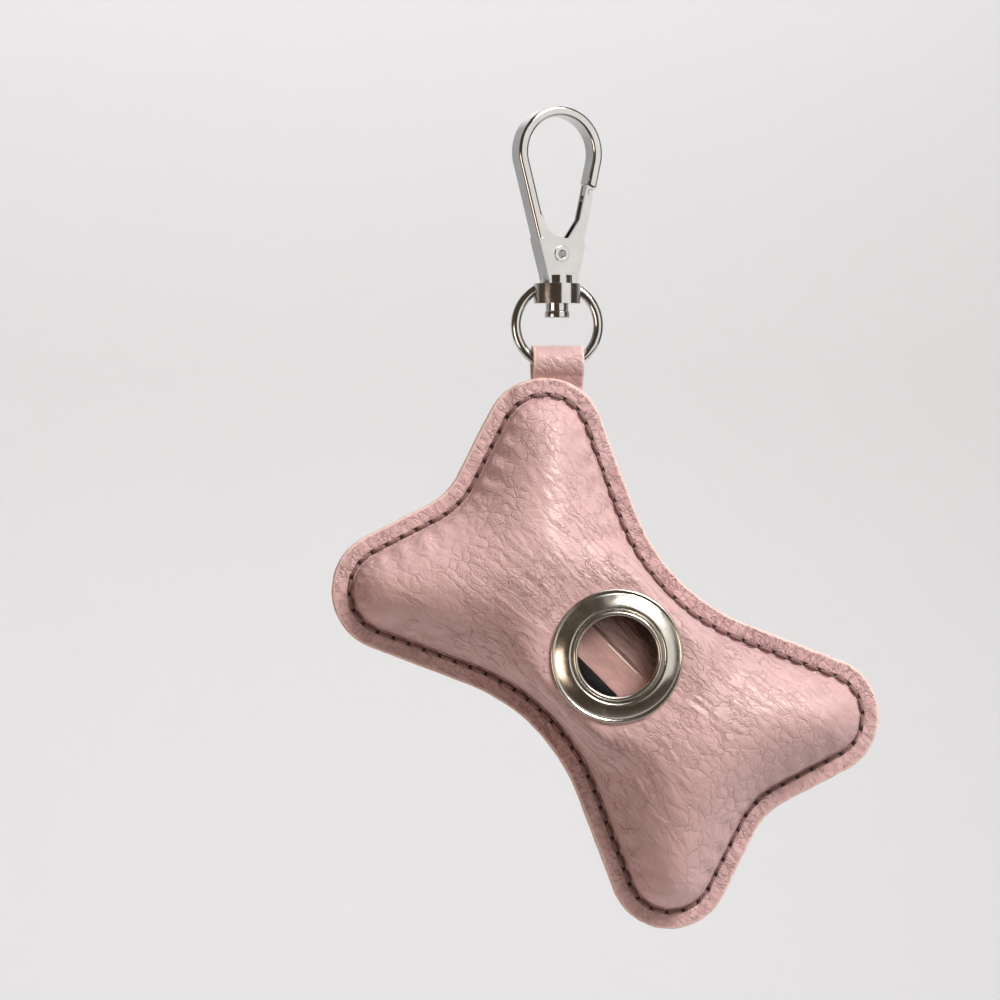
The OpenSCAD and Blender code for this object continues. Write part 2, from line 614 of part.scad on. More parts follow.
// A torsion spring round the pin, inside the gate's channel
spring_wire = 0.15;
spring_mid = pin_r + run_gap + spring_wire;
spring_pitch = 2 * spring_wire + 0.02;
spring_start = -70;
spring_stop = 1035;
spring_steps = 48;
leg_short = 1.5;
leg_long = 3.6;
function spring_frame(t) = let (a = lerp(spring_start, spring_stop, t)) [
    [spring_mid * cos(a), spring_mid * sin(a),
     (t - 0.5) * spring_pitch * (spring_stop - spring_start) / 360],
    [cos(a), sin(a), 0], [-sin(a), cos(a), 0]];
function spring_ring(frame, along, sides) = [for (i = [0 : sides - 1]) let (b = 360 * i / sides)
    frame[0] + along * frame[2] + spring_wire * (cos(b) * frame[1] + [0, 0, sin(b)])];
module tube(rings) {
    n = len(rings[0]);
    m = len(rings);
    polyhedron([for (ring = rings) for (p = ring) p], concat(
        [[for (i = [n - 1 : -1 : 0]) i]],
        [for (k = [0 : m - 2]) for (i = [0 : n - 1]) let (a = k * n + i, b = k * n + (i + 1) % n)
            each [[a, b, a + n], [b, b + n, a + n]]],
        [[for (i = [0 : n - 1]) (m - 1) * n + i]]));
}
module gate_spring() color("#8f8f8f") in_hook() to_front() translate([0, -pivot_z, 0])
    tube(concat([spring_ring(spring_frame(0), -leg_short, 8)],
        [for (k = [0 : spring_steps]) spring_ring(spring_frame(k / spring_steps), 0, 8)],
        [spring_ring(spring_frame(1), leg_long, 8)]));

module swivel_rivet() color("#b5b5b5") {
    translate([0, 0, head_top]) cylinder(plate_end + rivet_in - 0.05 - head_top, rivet_r, rivet_r, $fn = 32);
    translate([0, 0, head_top - head_h]) cylinder(head_h, rivet_r + 1, rivet_r + 1);
}

// The ring and its boss are one casting, bored for the rivet
module swivel_eye() color("silver") difference() {
    union() {
        translate([0, 0, ring_z]) difference() {
            to_front() rotate_extrude($fn = 96) translate([ring_r, 0]) circle(wire_r, $fn = 32);
            translate([-boss_r + 0.4, -5, boss_end - ring_z - 0.6]) cube([2 * boss_r - 0.8, 10, 20]);
        }
        translate([0, 0, boss_end]) cylinder(boss_h, boss_r, boss_r);
        translate([0, 0, boss_end - collar_h]) cylinder(collar_h + 0.1, collar_r, collar_r);
    }
    translate([0, 0, boss_end - 10]) cylinder(boss_h + 20, rivet_r + run_gap, rivet_r + run_gap, $fn = 32);
}

hook_body();
gate();
gate_pin();
gate_spring();
swivel_rivet();
swivel_eye();
front_panel();
back_panel();
eyelet_front();
eyelet_washer();
hanging_strap();
seam_thread();
bag_pocket();
lobe_pad_top();
lobe_pad_left();
lobe_pad_right();
lobe_pad_bottom();
snap_stud();
snap_post();
flap_hem();
flap_thread();
back_flap();
snap_cap();
snap_socket();
bag_roll();
bag_tail();
roll_core();
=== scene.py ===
"""Dresses the waste bag pouch, its snap hook and its roll of bags for the render.

Everything is in metres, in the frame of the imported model: +Z up, the front faces -Y.
"""
import math

import bpy
import numpy as np
from bpy.props import FloatProperty, FloatVectorProperty, PointerProperty
from mathutils import Matrix, Vector


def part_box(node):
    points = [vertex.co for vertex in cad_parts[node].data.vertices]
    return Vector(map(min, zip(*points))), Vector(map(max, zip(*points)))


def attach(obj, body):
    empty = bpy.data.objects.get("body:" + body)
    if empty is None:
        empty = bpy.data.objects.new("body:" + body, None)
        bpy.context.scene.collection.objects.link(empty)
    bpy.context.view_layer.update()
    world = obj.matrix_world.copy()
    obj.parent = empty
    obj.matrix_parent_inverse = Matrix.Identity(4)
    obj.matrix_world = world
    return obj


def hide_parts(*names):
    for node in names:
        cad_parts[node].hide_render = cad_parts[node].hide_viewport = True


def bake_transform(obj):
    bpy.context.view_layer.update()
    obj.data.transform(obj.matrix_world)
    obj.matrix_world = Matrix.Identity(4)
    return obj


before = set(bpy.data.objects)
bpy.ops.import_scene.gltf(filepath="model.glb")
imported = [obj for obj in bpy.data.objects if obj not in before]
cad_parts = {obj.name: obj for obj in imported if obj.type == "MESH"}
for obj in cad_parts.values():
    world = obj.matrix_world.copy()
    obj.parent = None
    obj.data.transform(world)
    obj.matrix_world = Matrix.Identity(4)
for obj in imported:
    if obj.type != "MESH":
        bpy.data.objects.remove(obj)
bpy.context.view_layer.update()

bl_info = {
    "name": "Bone pouch dresser",
    "version": (1, 0, 0),
    "blender": (4, 5, 0),
    "location": "View3D > Sidebar > Pouch",
    "description": "Leather, thread, film and plated metal for a bone-shaped bag pouch",
    "category": "Object",
}

MM = 0.001
roll_low, roll_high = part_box("roll_core")
# Middle of the bone and the turn of its long axis below level
MIDDLE = np.array([(roll_low.x + roll_high.x) / 2, 0, (roll_low.z + roll_high.z) / 2])
TURN = math.radians(45)

# The sizes down to TAIL_END are in millimetres, and places are from the bone's middle
# Outline of the bone: its lobes, waists and end notches
LOBE = np.array([39.5, 21.5])
LOBE_R = 12.1
WAIST_HALF = 20.8
WAIST_R = 39.0
NOTCH_U = 45.9
NOTCH_R = 13.0
# Panels: thickness, raw edge to stitches and to the bulge, run of the wall, half thickness, stitch pitch
LEATHER = 1.2
STITCH_IN = 3.4
SEAM_IN = 4.4
RISE = 4.2
PUFF = 16.0
PITCH = 3.3
# Strap: width, thickness, inside radius of the loop, and from its centre to where its sides meet
STRAP_W = 10.4
STRAP_T = 1.05
RING_GAP = 2.4
STRAP_APEX = 3.05
# Flat seats round the eyelet and the mouth, from the seam's plane
FRONT_SEAT = 15.3
BACK_SEAT = 14.4
# Loading mouth, flap and press stud
MOUTH_HALF = 22.0
MOUTH_R = 6.0
MOUTH_V = 2.0
FLAP_LEN = 64.0
FLAP_T = 1.2
FOLD_V = 10.2
SNAP_V = -9.0
CAP_R = 4.8
CORNER_R = 3
# Clear hole of the eyelet and the hole in the leather under it
EYELET_HOLE_R = 8.0
LEATHER_HOLE_R = 9.0
# Roll of bags, its core, and the loose end
ROLL_R = 10.8
ROLL_HALF = 27.0
CORE_R = 5.2
TAIL_R = 11.0
TAIL_HALF = 24
TAIL_END = (-10.45, -5.2)

# The bone's middle moved to the origin once its axis is turned level, for the materials
BONE_HOME = (-(MIDDLE[0] * math.cos(TURN) - MIDDLE[2] * math.sin(TURN)), 0,
             -(MIDDLE[0] * math.sin(TURN) + MIDDLE[2] * math.cos(TURN)))

# The studio, in metres from the hook's bow: what the camera looks at, its turn and the width it takes in
TARGET = Vector((-0.0115, 0, -0.0695))
CAMERA_YAW = math.radians(-6.5)
FRAME_WIDTH = 0.2
SENSOR_WIDTH = 36
# The wall stands beyond a camera that looks from behind
SWEEP_FLOOR = -0.36
SWEEP_WALL = 1.35
SWEEP_BEND = 0.35
SWEEP_TOP = 1.6
SWEEP_NEAR = -0.12
SWEEP_HALF = 0.9
WALL_AIM = Vector((0, SWEEP_WALL, -0.1))
# Name, place, width, height, share of the key power, colour and what it points at
LAMPS = (
    ("key", (0.50, -0.62, 0.62), 0.45, 0.40, 3.1, (1.0, 0.985, 0.97), TARGET),
    ("side_panel", (0.64, -0.76, 0.0), 0.9, 0.85, 0.60, (1.0, 0.99, 0.98), TARGET),
    ("fill", (-0.80, -0.58, -0.26), 0.45, 0.45, 0.55, (1.0, 0.80, 0.66), TARGET),
    ("top", (0.12, -0.10, 0.75), 0.5, 0.4, 0.6, (0.97, 0.97, 1), TARGET),
    ("back", (0.0, 0.95, 0.75), 1.4, 0.5, 1.7, (0.97, 0.985, 1), WALL_AIM))
# The world's light: dim and warm towards the camera, pale towards the wall
WORLD_FRONT = (0.10, 0.075, 0.055, 1)
WORLD_BACK = (0.9, 0.9, 0.92, 1)
WORLD_STRENGTH = 0.75
WORLD_REACH = (0.2, 0.9)


# Settings

class LeatherSettings(bpy.types.PropertyGroup):
    tint: FloatVectorProperty(name="Tint", description="Colour of the leather's grain side",
        subtype="COLOR", size=3, min=0, max=1, default=(0.66, 0.425, 0.415))
    edge_tint: FloatVectorProperty(name="Raw edge", description="Colour of the cut edge",
        subtype="COLOR", size=3, min=0, max=1, default=(0.90, 0.66, 0.59))
    pebble: FloatProperty(name="Pebble", description="Size of one pebble of the grain",
        unit="LENGTH", default=0.0023, min=0.0005, max=0.006)
    depth: FloatProperty(name="Grain depth", description="Depth of the grain in millimetres",
        default=0.10, min=0, max=0.5)
    crease: FloatProperty(name="Creases", default=0.22, min=0, max=1,
        description="Height of the creases towards the eyelet, in millimetres")


class MetalSettings(bpy.types.PropertyGroup):
    plating: FloatVectorProperty(name="Plating", description="Colour of the polished plating",
        subtype="COLOR", size=3, min=0, max=1, default=(0.66, 0.655, 0.64))
    satin: FloatVectorProperty(name="Eyelet", description="Colour of the eyelet's warm satin plating",
        subtype="COLOR", size=3, min=0, max=1, default=(0.64, 0.60, 0.54))
    gloss: FloatProperty(name="Roughness", description="Roughness of the polished plating",
        default=0.13, min=0, max=1)


class FilmSettings(bpy.types.PropertyGroup):
    tint: FloatVectorProperty(name="Film", description="Colour of the wound bags",
        subtype="COLOR", size=3, min=0, max=1, default=(0.62, 0.37, 0.34))


class StudioSettings(bpy.types.PropertyGroup):
    backdrop: FloatVectorProperty(name="Backdrop", description="Colour of the floor and backdrop",
        subtype="COLOR", size=3, min=0, max=1, default=(0.82, 0.82, 0.83))
    key: FloatProperty(name="Key light", description="Power of the key light in watts", default=4.0, min=0)
    distance: FloatProperty(name="Camera distance", description="From the camera to the pouch",
        unit="LENGTH", default=1.0, min=0.3, max=3)


# Shapes

def arc(c, r, a0, a1, n):
    a = np.radians(np.linspace(a0, a1, n, endpoint=False))
    return np.stack([c[0] + r * np.cos(a), c[1] + r * np.sin(a)], 1)


def run(p, q, n):
    t = np.linspace(0, 1, n, endpoint=False)[:, None]
    return p + (q - p) * t


def heading(p):
    return math.degrees(math.atan2(p[1], p[0]))


def bone_outline(inset, fine=1):
    """The bone's outline, set in from the raw edge, with 80 points for each step of fineness."""
    waist_c, notch_c = np.array([0, WAIST_HALF + WAIST_R]), np.array([NOTCH_U + NOTCH_R, 0])
    at = lambda c, r, a: c + r * np.array([math.cos(math.radians(a)), math.sin(math.radians(a))])
    cross = lambda a, ra, b, rb: math.degrees(math.acos((ra + rb) / np.linalg.norm(b - a)))
    notch_a = heading(LOBE - notch_c) + cross(notch_c, NOTCH_R, LOBE, LOBE_R)
    lobe_0 = notch_a - 180
    lobe_1 = heading(waist_c - LOBE) - cross(LOBE, LOBE_R, waist_c, WAIST_R)
    waist_a = lobe_1 + 180
    n, w, r = NOTCH_R + inset, WAIST_R + inset, LOBE_R - inset
    q = np.concatenate([
        arc(notch_c, n, 180, notch_a, 2 * fine),
        run(at(notch_c, n, notch_a), at(LOBE, r, lobe_0), 3 * fine),
        arc(LOBE, r, lobe_0, lobe_1, 8 * fine),
        run(at(LOBE, r, lobe_1), at(waist_c, w, waist_a), 4 * fine),
        arc(waist_c, w, waist_a, 270, 3 * fine),
        [[0, WAIST_HALF - inset]]])
    flip = q[:0:-1]
    return np.concatenate([q[:-1], flip * [-1, 1], -q[:-1], flip * [1, -1]])


SEAM = bone_outline(SEAM_IN)


def smooth(x):
    t = np.clip(x, 0, 1)
    return t * t * (3 - 2 * t)


def spread(p):
    """How far a point lies from the seam, kept smooth along the middle."""
    a, b = SEAM, np.roll(SEAM, -1, 0)
    length = np.linalg.norm(b - a, axis=1)
    away = np.linalg.norm(p[..., None, :] - (a + b) / 2, axis=-1)
    return np.sqrt(2 / np.maximum(1e-6, (length / away ** 3).sum(-1)))


MIDDLE_SPREAD = float(spread(np.zeros((1, 2)))[0])


def value_noise(x, y, seed):
    """Smooth noise from -0.5 to 0.5, the same on each run."""
    table = np.random.RandomState(seed).rand(128, 128)
    xi, yi = np.floor(x).astype(int), np.floor(y).astype(int)
    fx, fy = smooth(x - xi), smooth(y - yi)
    at = lambda a, b: table[a % 128, b % 128]
    low = at(xi, yi) * (1 - fx) + at(xi + 1, yi) * fx
    high = at(xi, yi + 1) * (1 - fx) + at(xi + 1, yi + 1) * fx
    return low * (1 - fy) + high * fy - 0.5


def to_world(points):
    """Points drawn as (along the bone, out, across) in millimetres, placed in the row's frame in metres."""
    p = np.asarray(points, float)
    c, s = math.cos(TURN), math.sin(TURN)
    x, z = p[..., 0] * c + p[..., 2] * s, -p[..., 0] * s + p[..., 2] * c
    return np.stack([x, p[..., 1], z], -1) * MM + MIDDLE


def strap_lift(p):
    """How far each panel's margin stands off the seam's plane, where the strap lies between them."""
    w = to_world(np.stack([p[..., 0], 0 * p[..., 0], p[..., 1]], -1)) / MM
    up = w[..., 2] > MIDDLE[2] / MM + 30
    return np.where(up, (STRAP_T + 0.25) * smooth((STRAP_W / 2 + 5.5 - np.abs(w[..., 0])) / 3.2), 0)


def select_only(piece):
    bpy.ops.object.select_all(action="DESELECT")
    piece.select_set(True)
    bpy.context.view_layer.objects.active = piece


def wrapped_sheet(name, points, uv, merge=True):
    """A grid primitive laid over an array of points (rows, columns, 3) and merged where its sides meet."""
    rows, cols = points.shape[:2]
    bpy.ops.object.select_all(action="DESELECT")
    bpy.ops.mesh.primitive_grid_add(x_subdivisions=cols - 1, y_subdivisions=rows - 1, size=2)
    piece = bpy.context.object
    piece.name = piece.data.name = name
    mesh = piece.data
    flat = np.empty(len(mesh.vertices) * 3)
    mesh.vertices.foreach_get("co", flat)
    flat = flat.reshape(-1, 3)
    i = np.rint((flat[:, 0] + 1) / 2 * (cols - 1)).astype(int)
    j = np.rint((flat[:, 1] + 1) / 2 * (rows - 1)).astype(int)
    mesh.vertices.foreach_set("co", points[j, i].ravel())
    corner = np.empty(len(mesh.loops), int)
    mesh.loops.foreach_get("vertex_index", corner)
    mesh.uv_layers.active.data.foreach_set("uv", uv[j, i][corner].ravel())
    mesh.update()
    if merge:
        select_only(piece)
        bpy.ops.object.mode_set(mode="EDIT")
        bpy.ops.mesh.select_all(action="SELECT")
        bpy.ops.mesh.remove_doubles(threshold=1e-6)
        bpy.ops.mesh.normals_make_consistent(inside=False)
        bpy.ops.object.mode_set(mode="OBJECT")
    return piece


def apply_modifier(piece, kind, **values):
    select_only(piece)
    bpy.ops.object.modifier_add(type=kind)
    modifier = piece.modifiers[-1]
    for key, value in values.items():
        setattr(modifier, key, value)
    bpy.ops.object.modifier_apply(modifier=modifier.name)


def smooth_shade(piece, angle=50):
    select_only(piece)
    bpy.ops.object.shade_smooth_by_angle(angle=math.radians(angle))


def settle(piece, material, body, slot, *nodes):
    """Gives a finished piece its material and its body, and hides the CAD nodes that it stands for."""
    piece.data.materials.clear()
    piece.data.materials.append(material)
    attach(piece, body)
    if nodes:
        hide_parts(*nodes)
    return piece


def cast_copy(node, name, bevel=0.0, segments=2, angle=35):
    """A copy of a CAD node with merged corners, eased edges and smooth faces."""
    select_only(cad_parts[node])
    bpy.ops.object.duplicate()
    piece = bpy.context.object
    piece.name = piece.data.name = name
    for key in [k for k in piece.keys() if k.startswith("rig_")]:
        del piece[key]
    piece.parent = None
    bpy.ops.object.mode_set(mode="EDIT")
    bpy.ops.mesh.select_all(action="SELECT")
    bpy.ops.mesh.remove_doubles(threshold=2e-6)
    bpy.ops.mesh.dissolve_limited(angle_limit=math.radians(0.5))
    bpy.ops.object.mode_set(mode="OBJECT")
    if bevel:
        apply_modifier(piece, "BEVEL", width=bevel * MM, segments=segments, limit_method="ANGLE",
                       angle_limit=math.radians(angle), harden_normals=False)
        select_only(piece)
        bpy.ops.object.shade_smooth()
        apply_modifier(piece, "WEIGHTED_NORMAL", mode="FACE_AREA", weight=50)
    else:
        smooth_shade(piece, angle)
    return piece


def leather_shell(name, side, seat, seat_weight, hole, middle, keep, creased):
    """A domed panel: raw edge, sewing margin, steep wall, puffed face, the hole's edge and the inside.

    The second map coordinate is the distance from a cut edge, and is below zero inside the pouch.
    """
    fine = 8
    far = 99
    rings, inset_of = [], []
    edge = bone_outline(0, fine)
    n = len(edge)

    def lay(points, height, inset):
        rings.append(np.stack([points[:, 0], side * height, points[:, 1]], 1))
        inset_of.append(inset)

    def face_height(points, depth, t):
        d = np.full(len(points), depth) if np.isscalar(depth) else depth
        s = spread(points)
        s = np.where(d < 4, d + (s - d) * d / 4, s)
        dome = (PUFF - t) * (s / MIDDLE_SPREAD) ** 0.52
        rise = np.sqrt(np.clip(1 - (1 - np.minimum(d, RISE) / RISE) ** 2, 0, 1))
        w = seat_weight(points)
        return dome + ((seat - t) * rise - dome) * w

    def relief(points, depth):
        """Creases along the bone that draw together at the hole, and soft dents."""
        u, v = points[:, 0], points[:, 1]
        clear = smooth((np.linalg.norm(points - middle(points), axis=1) - keep) / 6)
        foot = smooth(depth / 5)
        spanned = v / (0.55 + np.abs(u) / 60)
        ridge = 1 - 2 * np.abs(value_noise(u * 0.09 + 40, spanned * 0.55 + 9, 3)) ** 0.7
        ridge += 0.5 * (1 - 2 * np.abs(value_noise(u * 0.16 + 11, spanned * 1.05 + 30, 8)) ** 0.7)
        along = 0.35 + 0.65 * smooth((34 - np.abs(u)) / 14)
        dents = value_noise(u * 0.07 + 5, v * 0.08 + 3, 21) * 0.8
        pucker = value_noise(u * 0.4, v * 0.4, 5) * 0.22 * np.exp(-((depth - 3) / 3.5) ** 2)
        return clear * foot * (creased * along * (ridge - 0.7) + dents) + pucker * smooth(depth / 2) * clear

    lift = strap_lift(edge)
    for d, h in ((0.3, 0.0), (0.1, 0.12), (0.0, 0.4), (0.0, 0.8), (0.1, 1.08), (0.3, LEATHER)):
        fray = value_noise(np.arange(n) * 0.35, np.full(n, d * 9 + 7), 13) * 0.16
        lay(bone_outline(d, fine), lift + h, d)
        rings[-1][:, [0, 2]] += fray[:, None] * (edge / np.linalg.norm(edge, axis=1)[:, None])
    for d in (0.7, 1.3, 2.0, 2.6, 2.95, 3.2, 3.4, 3.6, 3.85, 4.1):
        line = bone_outline(d, fine)
        wave = value_noise(line[:, 0] * 0.4, line[:, 1] * 0.4, 17) * 0.16
        groove = -0.16 * math.exp(-((d - STITCH_IN) / 0.3) ** 2)
        lay(line, strap_lift(line) + LEATHER + groove + wave * smooth(d / 1.5), d)
    for angle in np.radians(np.linspace(3, 90, 18)):
        d = RISE * (1 - math.cos(angle))
        line = bone_outline(SEAM_IN + d - 0.55 * math.sin(2 * angle), fine)
        base = strap_lift(line) * np.clip(1 - face_height(line, d, 0) / 7, 0, 1)
        h = face_height(line, d, 0) + relief(line, d)
        lay(line, base + np.maximum(h, LEATHER - 0.02 + 0.25 * h), SEAM_IN + d)
    wall = bone_outline(SEAM_IN + 4.6, fine)
    rim = hole(bone_outline(SEAM_IN + RISE, fine))
    for s in np.linspace(0, 1, 46):
        p = wall + (rim - wall) * s
        lay(p, face_height(p, far, 0) + relief(p, far), 9 + 40 * s)
    h = face_height(rim, far, 0)
    for drop, draw in ((0.2, 0.06), (0.6, 0.1), (1.0, 0.06)):
        lay(rim + draw * (wall - rim) / np.linalg.norm(wall - rim, axis=1)[:, None] * -1, h - drop, 0.05)
    for s in np.linspace(1, 0, 14):
        wall_in = bone_outline(SEAM_IN + LEATHER + 4.1, fine)
        p = wall_in + (rim - wall_in) * s
        lay(p, face_height(p, far, LEATHER), -9)
    for angle in np.radians(np.linspace(84, 0, 7)):
        d = 4.1 * (1 - math.cos(angle))
        line = bone_outline(SEAM_IN + LEATHER + d, fine)
        h = face_height(line, d, LEATHER) * (angle > 0)
        lay(line, h + strap_lift(line) * np.clip(1 - h / 7, 0, 1), -5)
    for d in (4.4, 2.6, 0.9):
        line = bone_outline(d, fine)
        lay(line, strap_lift(line), -2)
    rings.append(rings[0])
    inset_of.append(-0.3)
    grid = np.array(rings)
    grid = np.concatenate([grid, grid[:, :1]], 1)
    stitch = bone_outline(STITCH_IN, fine)
    step = np.linalg.norm(np.roll(stitch, -1, 0) - stitch, axis=1)
    total = step.sum()
    along = np.concatenate([[0], np.cumsum(step)]) / total * round(total / PITCH)
    uv = np.stack(np.broadcast_arrays(along[None, :], np.array(inset_of)[:, None]), -1).astype(float)
    piece = wrapped_sheet(name, to_world(grid), uv)
    smooth_shade(piece, 60)
    return piece


def one_stitch(length):
    """A short arched strand of thread whose ends sink into the needle holes."""
    bpy.ops.object.select_all(action="DESELECT")
    bpy.ops.mesh.primitive_cylinder_add(vertices=8, radius=0.32 * MM, depth=length * MM,
                                        end_fill_type="NOTHING")
    piece = bpy.context.object
    bpy.ops.object.mode_set(mode="EDIT")
    bpy.ops.mesh.select_all(action="SELECT")
    bpy.ops.transform.rotate(value=math.radians(90), orient_axis="Y", center_override=(0, 0, 0))
    bpy.ops.mesh.select_all(action="DESELECT")
    bpy.ops.mesh.select_mode(type="EDGE")
    bpy.ops.object.mode_set(mode="OBJECT")
    at = [v.co.x for v in piece.data.vertices]
    for e in piece.data.edges:
        e.select = abs(at[e.vertices[0]] - at[e.vertices[1]]) > length * MM / 2
    bpy.ops.object.mode_set(mode="EDIT")
    bpy.ops.mesh.subdivide(number_cuts=6)
    bpy.ops.mesh.select_mode(type="VERT")
    bpy.ops.object.mode_set(mode="OBJECT")
    for v in piece.data.vertices:
        t = 2 * v.co.x / (length * MM)
        slim = 1 - 0.45 * t ** 4
        v.co.y *= slim
        v.co.z = v.co.z * slim + (0.16 - 0.62 * t ** 4) * MM
    return piece


def sew(name, places, material, slot, node, length):
    """One stitch at each place, given as (middle, direction, outwards), joined into one piece."""
    pattern = one_stitch(length)
    copies = []
    for middle, direction, outwards in places:
        x = Vector(direction).normalized()
        z = Vector(outwards).normalized()
        y = z.cross(x).normalized()
        z = x.cross(y)
        turn = Matrix((x, y, z)).transposed().to_4x4()
        copy = pattern.copy()
        copy.data = pattern.data.copy()
        copy.data.transform(Matrix.Translation(Vector(middle)) @ turn)
        bpy.context.scene.collection.objects.link(copy)
        copies.append(copy)
    bpy.data.objects.remove(pattern)
    bpy.ops.object.select_all(action="DESELECT")
    for copy in copies:
        copy.select_set(True)
    bpy.context.view_layer.objects.active = copies[0]
    bpy.ops.object.join()
    piece = bpy.context.object
    piece.name = piece.data.name = name
    smooth_shade(piece, 70)
    return settle(piece, material, "pouch", slot, node)


def eyelet_middle(points):
    return np.zeros_like(points)


def mouth_middle(points):
    return np.stack([np.clip(points[:, 0], -MOUTH_HALF, MOUTH_HALF), np.full(len(points), MOUTH_V)], 1)


def eyelet_hole(ring):
    return ring / np.linalg.norm(ring, axis=1)[:, None] * LEATHER_HOLE_R


def mouth_hole(ring):
    middle = np.stack([np.clip(ring[:, 0] * 0.62, -MOUTH_HALF, MOUTH_HALF), np.full(len(ring), MOUTH_V)], 1)
    out = ring - middle
    return middle + MOUTH_R * out / np.linalg.norm(out, axis=1)[:, None]


# Materials

class Recipe:
    """A material with short calls for the nodes it is mixed from."""

    def __init__(self, name):
        self.material = bpy.data.materials.new(name)
        self.material.use_nodes = True
        self.tree = self.material.node_tree
        self.shader = next(x for x in self.tree.nodes if x.type == "BSDF_PRINCIPLED")

    def node(self, kind, inputs=(), **settings):
        made = self.tree.nodes.new(kind)
        for key, value in settings.items():
            setattr(made, key, value)
        for key, value in dict(inputs).items():
            self.feed(made.inputs[key], value)
        return made

    def feed(self, socket, value):
        if hasattr(value, "is_output"):
            self.tree.links.new(value, socket)
        elif hasattr(value, "outputs"):
            self.tree.links.new(value.outputs[0], socket)
        else:
            socket.default_value = value

    def set(self, **values):
        for key, value in values.items():
            self.feed(self.shader.inputs[key.replace("_", " ")], value)

    def math(self, operation, a, b=0.0):
        made = self.node("ShaderNodeMath", operation=operation)
        self.feed(made.inputs[0], a)
        self.feed(made.inputs[1], b)
        return made

    def times(self, a, b):
        return self.math("MULTIPLY", a, b)

    def plus(self, a, b):
        return self.math("ADD", a, b)

    def minus(self, a, b):
        return self.math("SUBTRACT", a, b)

    def ramp(self, value, low, high, to_low=0.0, to_high=1.0):
        return self.node("ShaderNodeMapRange", {"Value": value, "From Min": low, "From Max": high,
            "To Min": to_low, "To Max": to_high}, interpolation_type="SMOOTHSTEP")

    def mix(self, factor, a, b, blend="MIX"):
        made = self.node("ShaderNodeMix", data_type="RGBA", blend_type=blend)
        self.feed(made.inputs[0], factor)
        self.feed(made.inputs[6], a)
        self.feed(made.inputs[7], b)
        return made.outputs[2]

    def place(self, scale=(1, 1, 1), turn=(0, 0, 0), shift=(0, 0, 0), source=None):
        if source is None:
            source = self.node("ShaderNodeTexCoord").outputs["Object"]
        return self.node("ShaderNodeMapping", {"Vector": source, "Scale": scale, "Rotation": turn,
            "Location": shift})

    def noise(self, vector, scale, detail=3.0, rough=0.55, distortion=0.0):
        return self.node("ShaderNodeTexNoise", {"Vector": vector, "Scale": scale, "Detail": detail,
            "Roughness": rough, "Distortion": distortion})

    def cells(self, vector, scale):
        """Distance to the edge of the nearest cell."""
        made = self.node("ShaderNodeTexVoronoi", {"Vector": vector, "Scale": scale},
                         feature="DISTANCE_TO_EDGE")
        return made.outputs["Distance"]

    def shaded(self, colour, tone):
        """The colour, made lighter or darker by a tone."""
        grey = self.node("ShaderNodeCombineColor", {0: tone, 1: tone, 2: tone})
        return self.mix(1.0, rgba(colour), grey, "MULTIPLY")

    # Mixes the colour towards itself times a factor: painted shade where the factor is below one, painted
    # light where it is above.
    def painted_light_tint(self, amount, colour, light_factor):
        return self.mix(amount, colour, self.mix(1.0, colour, rgba(light_factor), "MULTIPLY"))

    def bump(self, height):
        """Relief whose height is given in millimetres."""
        self.feed(self.shader.inputs["Normal"],
                  self.node("ShaderNodeBump", {"Height": height, "Distance": MM, "Strength": 1.0}))


def rgba(colour):
    return (*colour, 1.0)


def leather_grain(r, here):
    """Height of the cells, cracks and creases drawn out along the bone, and a mask of the lines among them
    for their painted shade.
    """
    s = bpy.context.scene.pouch_leather
    bone = r.place(turn=(0, -TURN, 0), shift=BONE_HOME, source=here)
    drift = r.noise(bone, 170, 4, 0.7)
    moved = r.node("ShaderNodeVectorMath", operation="MULTIPLY_ADD")
    r.feed(moved.inputs[0], drift.outputs["Color"])
    moved.inputs[1].default_value = (0.0034,) * 3
    r.feed(moved.inputs[2], bone)
    moved = moved.outputs[0]
    main = r.cells(r.place(scale=(0.40, 1, 1), source=moved), 1 / s.pebble)
    small = r.cells(r.place(scale=(0.6, 1, 1), source=moved), 2.0 / s.pebble)
    patchy = r.ramp(r.noise(bone, 110, 3), 0.38, 0.62, 0.12, 1.0)
    crack = r.times(r.ramp(main, 0.0, 0.07, 1.0, 0.0), patchy)
    split = r.times(r.ramp(small, 0.0, 0.09, 1.0, 0.0), patchy)
    along = r.math("ABSOLUTE", r.node("ShaderNodeSeparateXYZ", {0: bone}).outputs[0])
    waist = r.ramp(along, 14 * MM, 42 * MM, 1.0, 0.15)
    long_lines = r.noise(r.place(scale=(0.13, 1, 1), source=moved), 430, 3, 0.6, 0.4)
    ridged = r.math("ABSOLUTE", r.minus(long_lines, 0.5))
    crease = r.times(r.ramp(ridged, 0.0, 0.020, 1.0, 0.0), waist)
    swell = r.noise(r.place(scale=(0.45, 1, 1), source=moved), 300, 2, 0.5)
    pores = r.noise(here, 3600, 2, 0.6)
    height = r.times(r.ramp(main, 0.0, 0.42), s.depth)
    for part, share in ((crack, -0.8), (split, -0.5), (crease, -1.4), (swell, 2.0), (pores, 0.15)):
        height = r.plus(height, r.times(part, share * s.depth))
    lines = r.math("MAXIMUM", r.math("MAXIMUM", crack, crease), r.times(split, 0.5))
    return height, lines


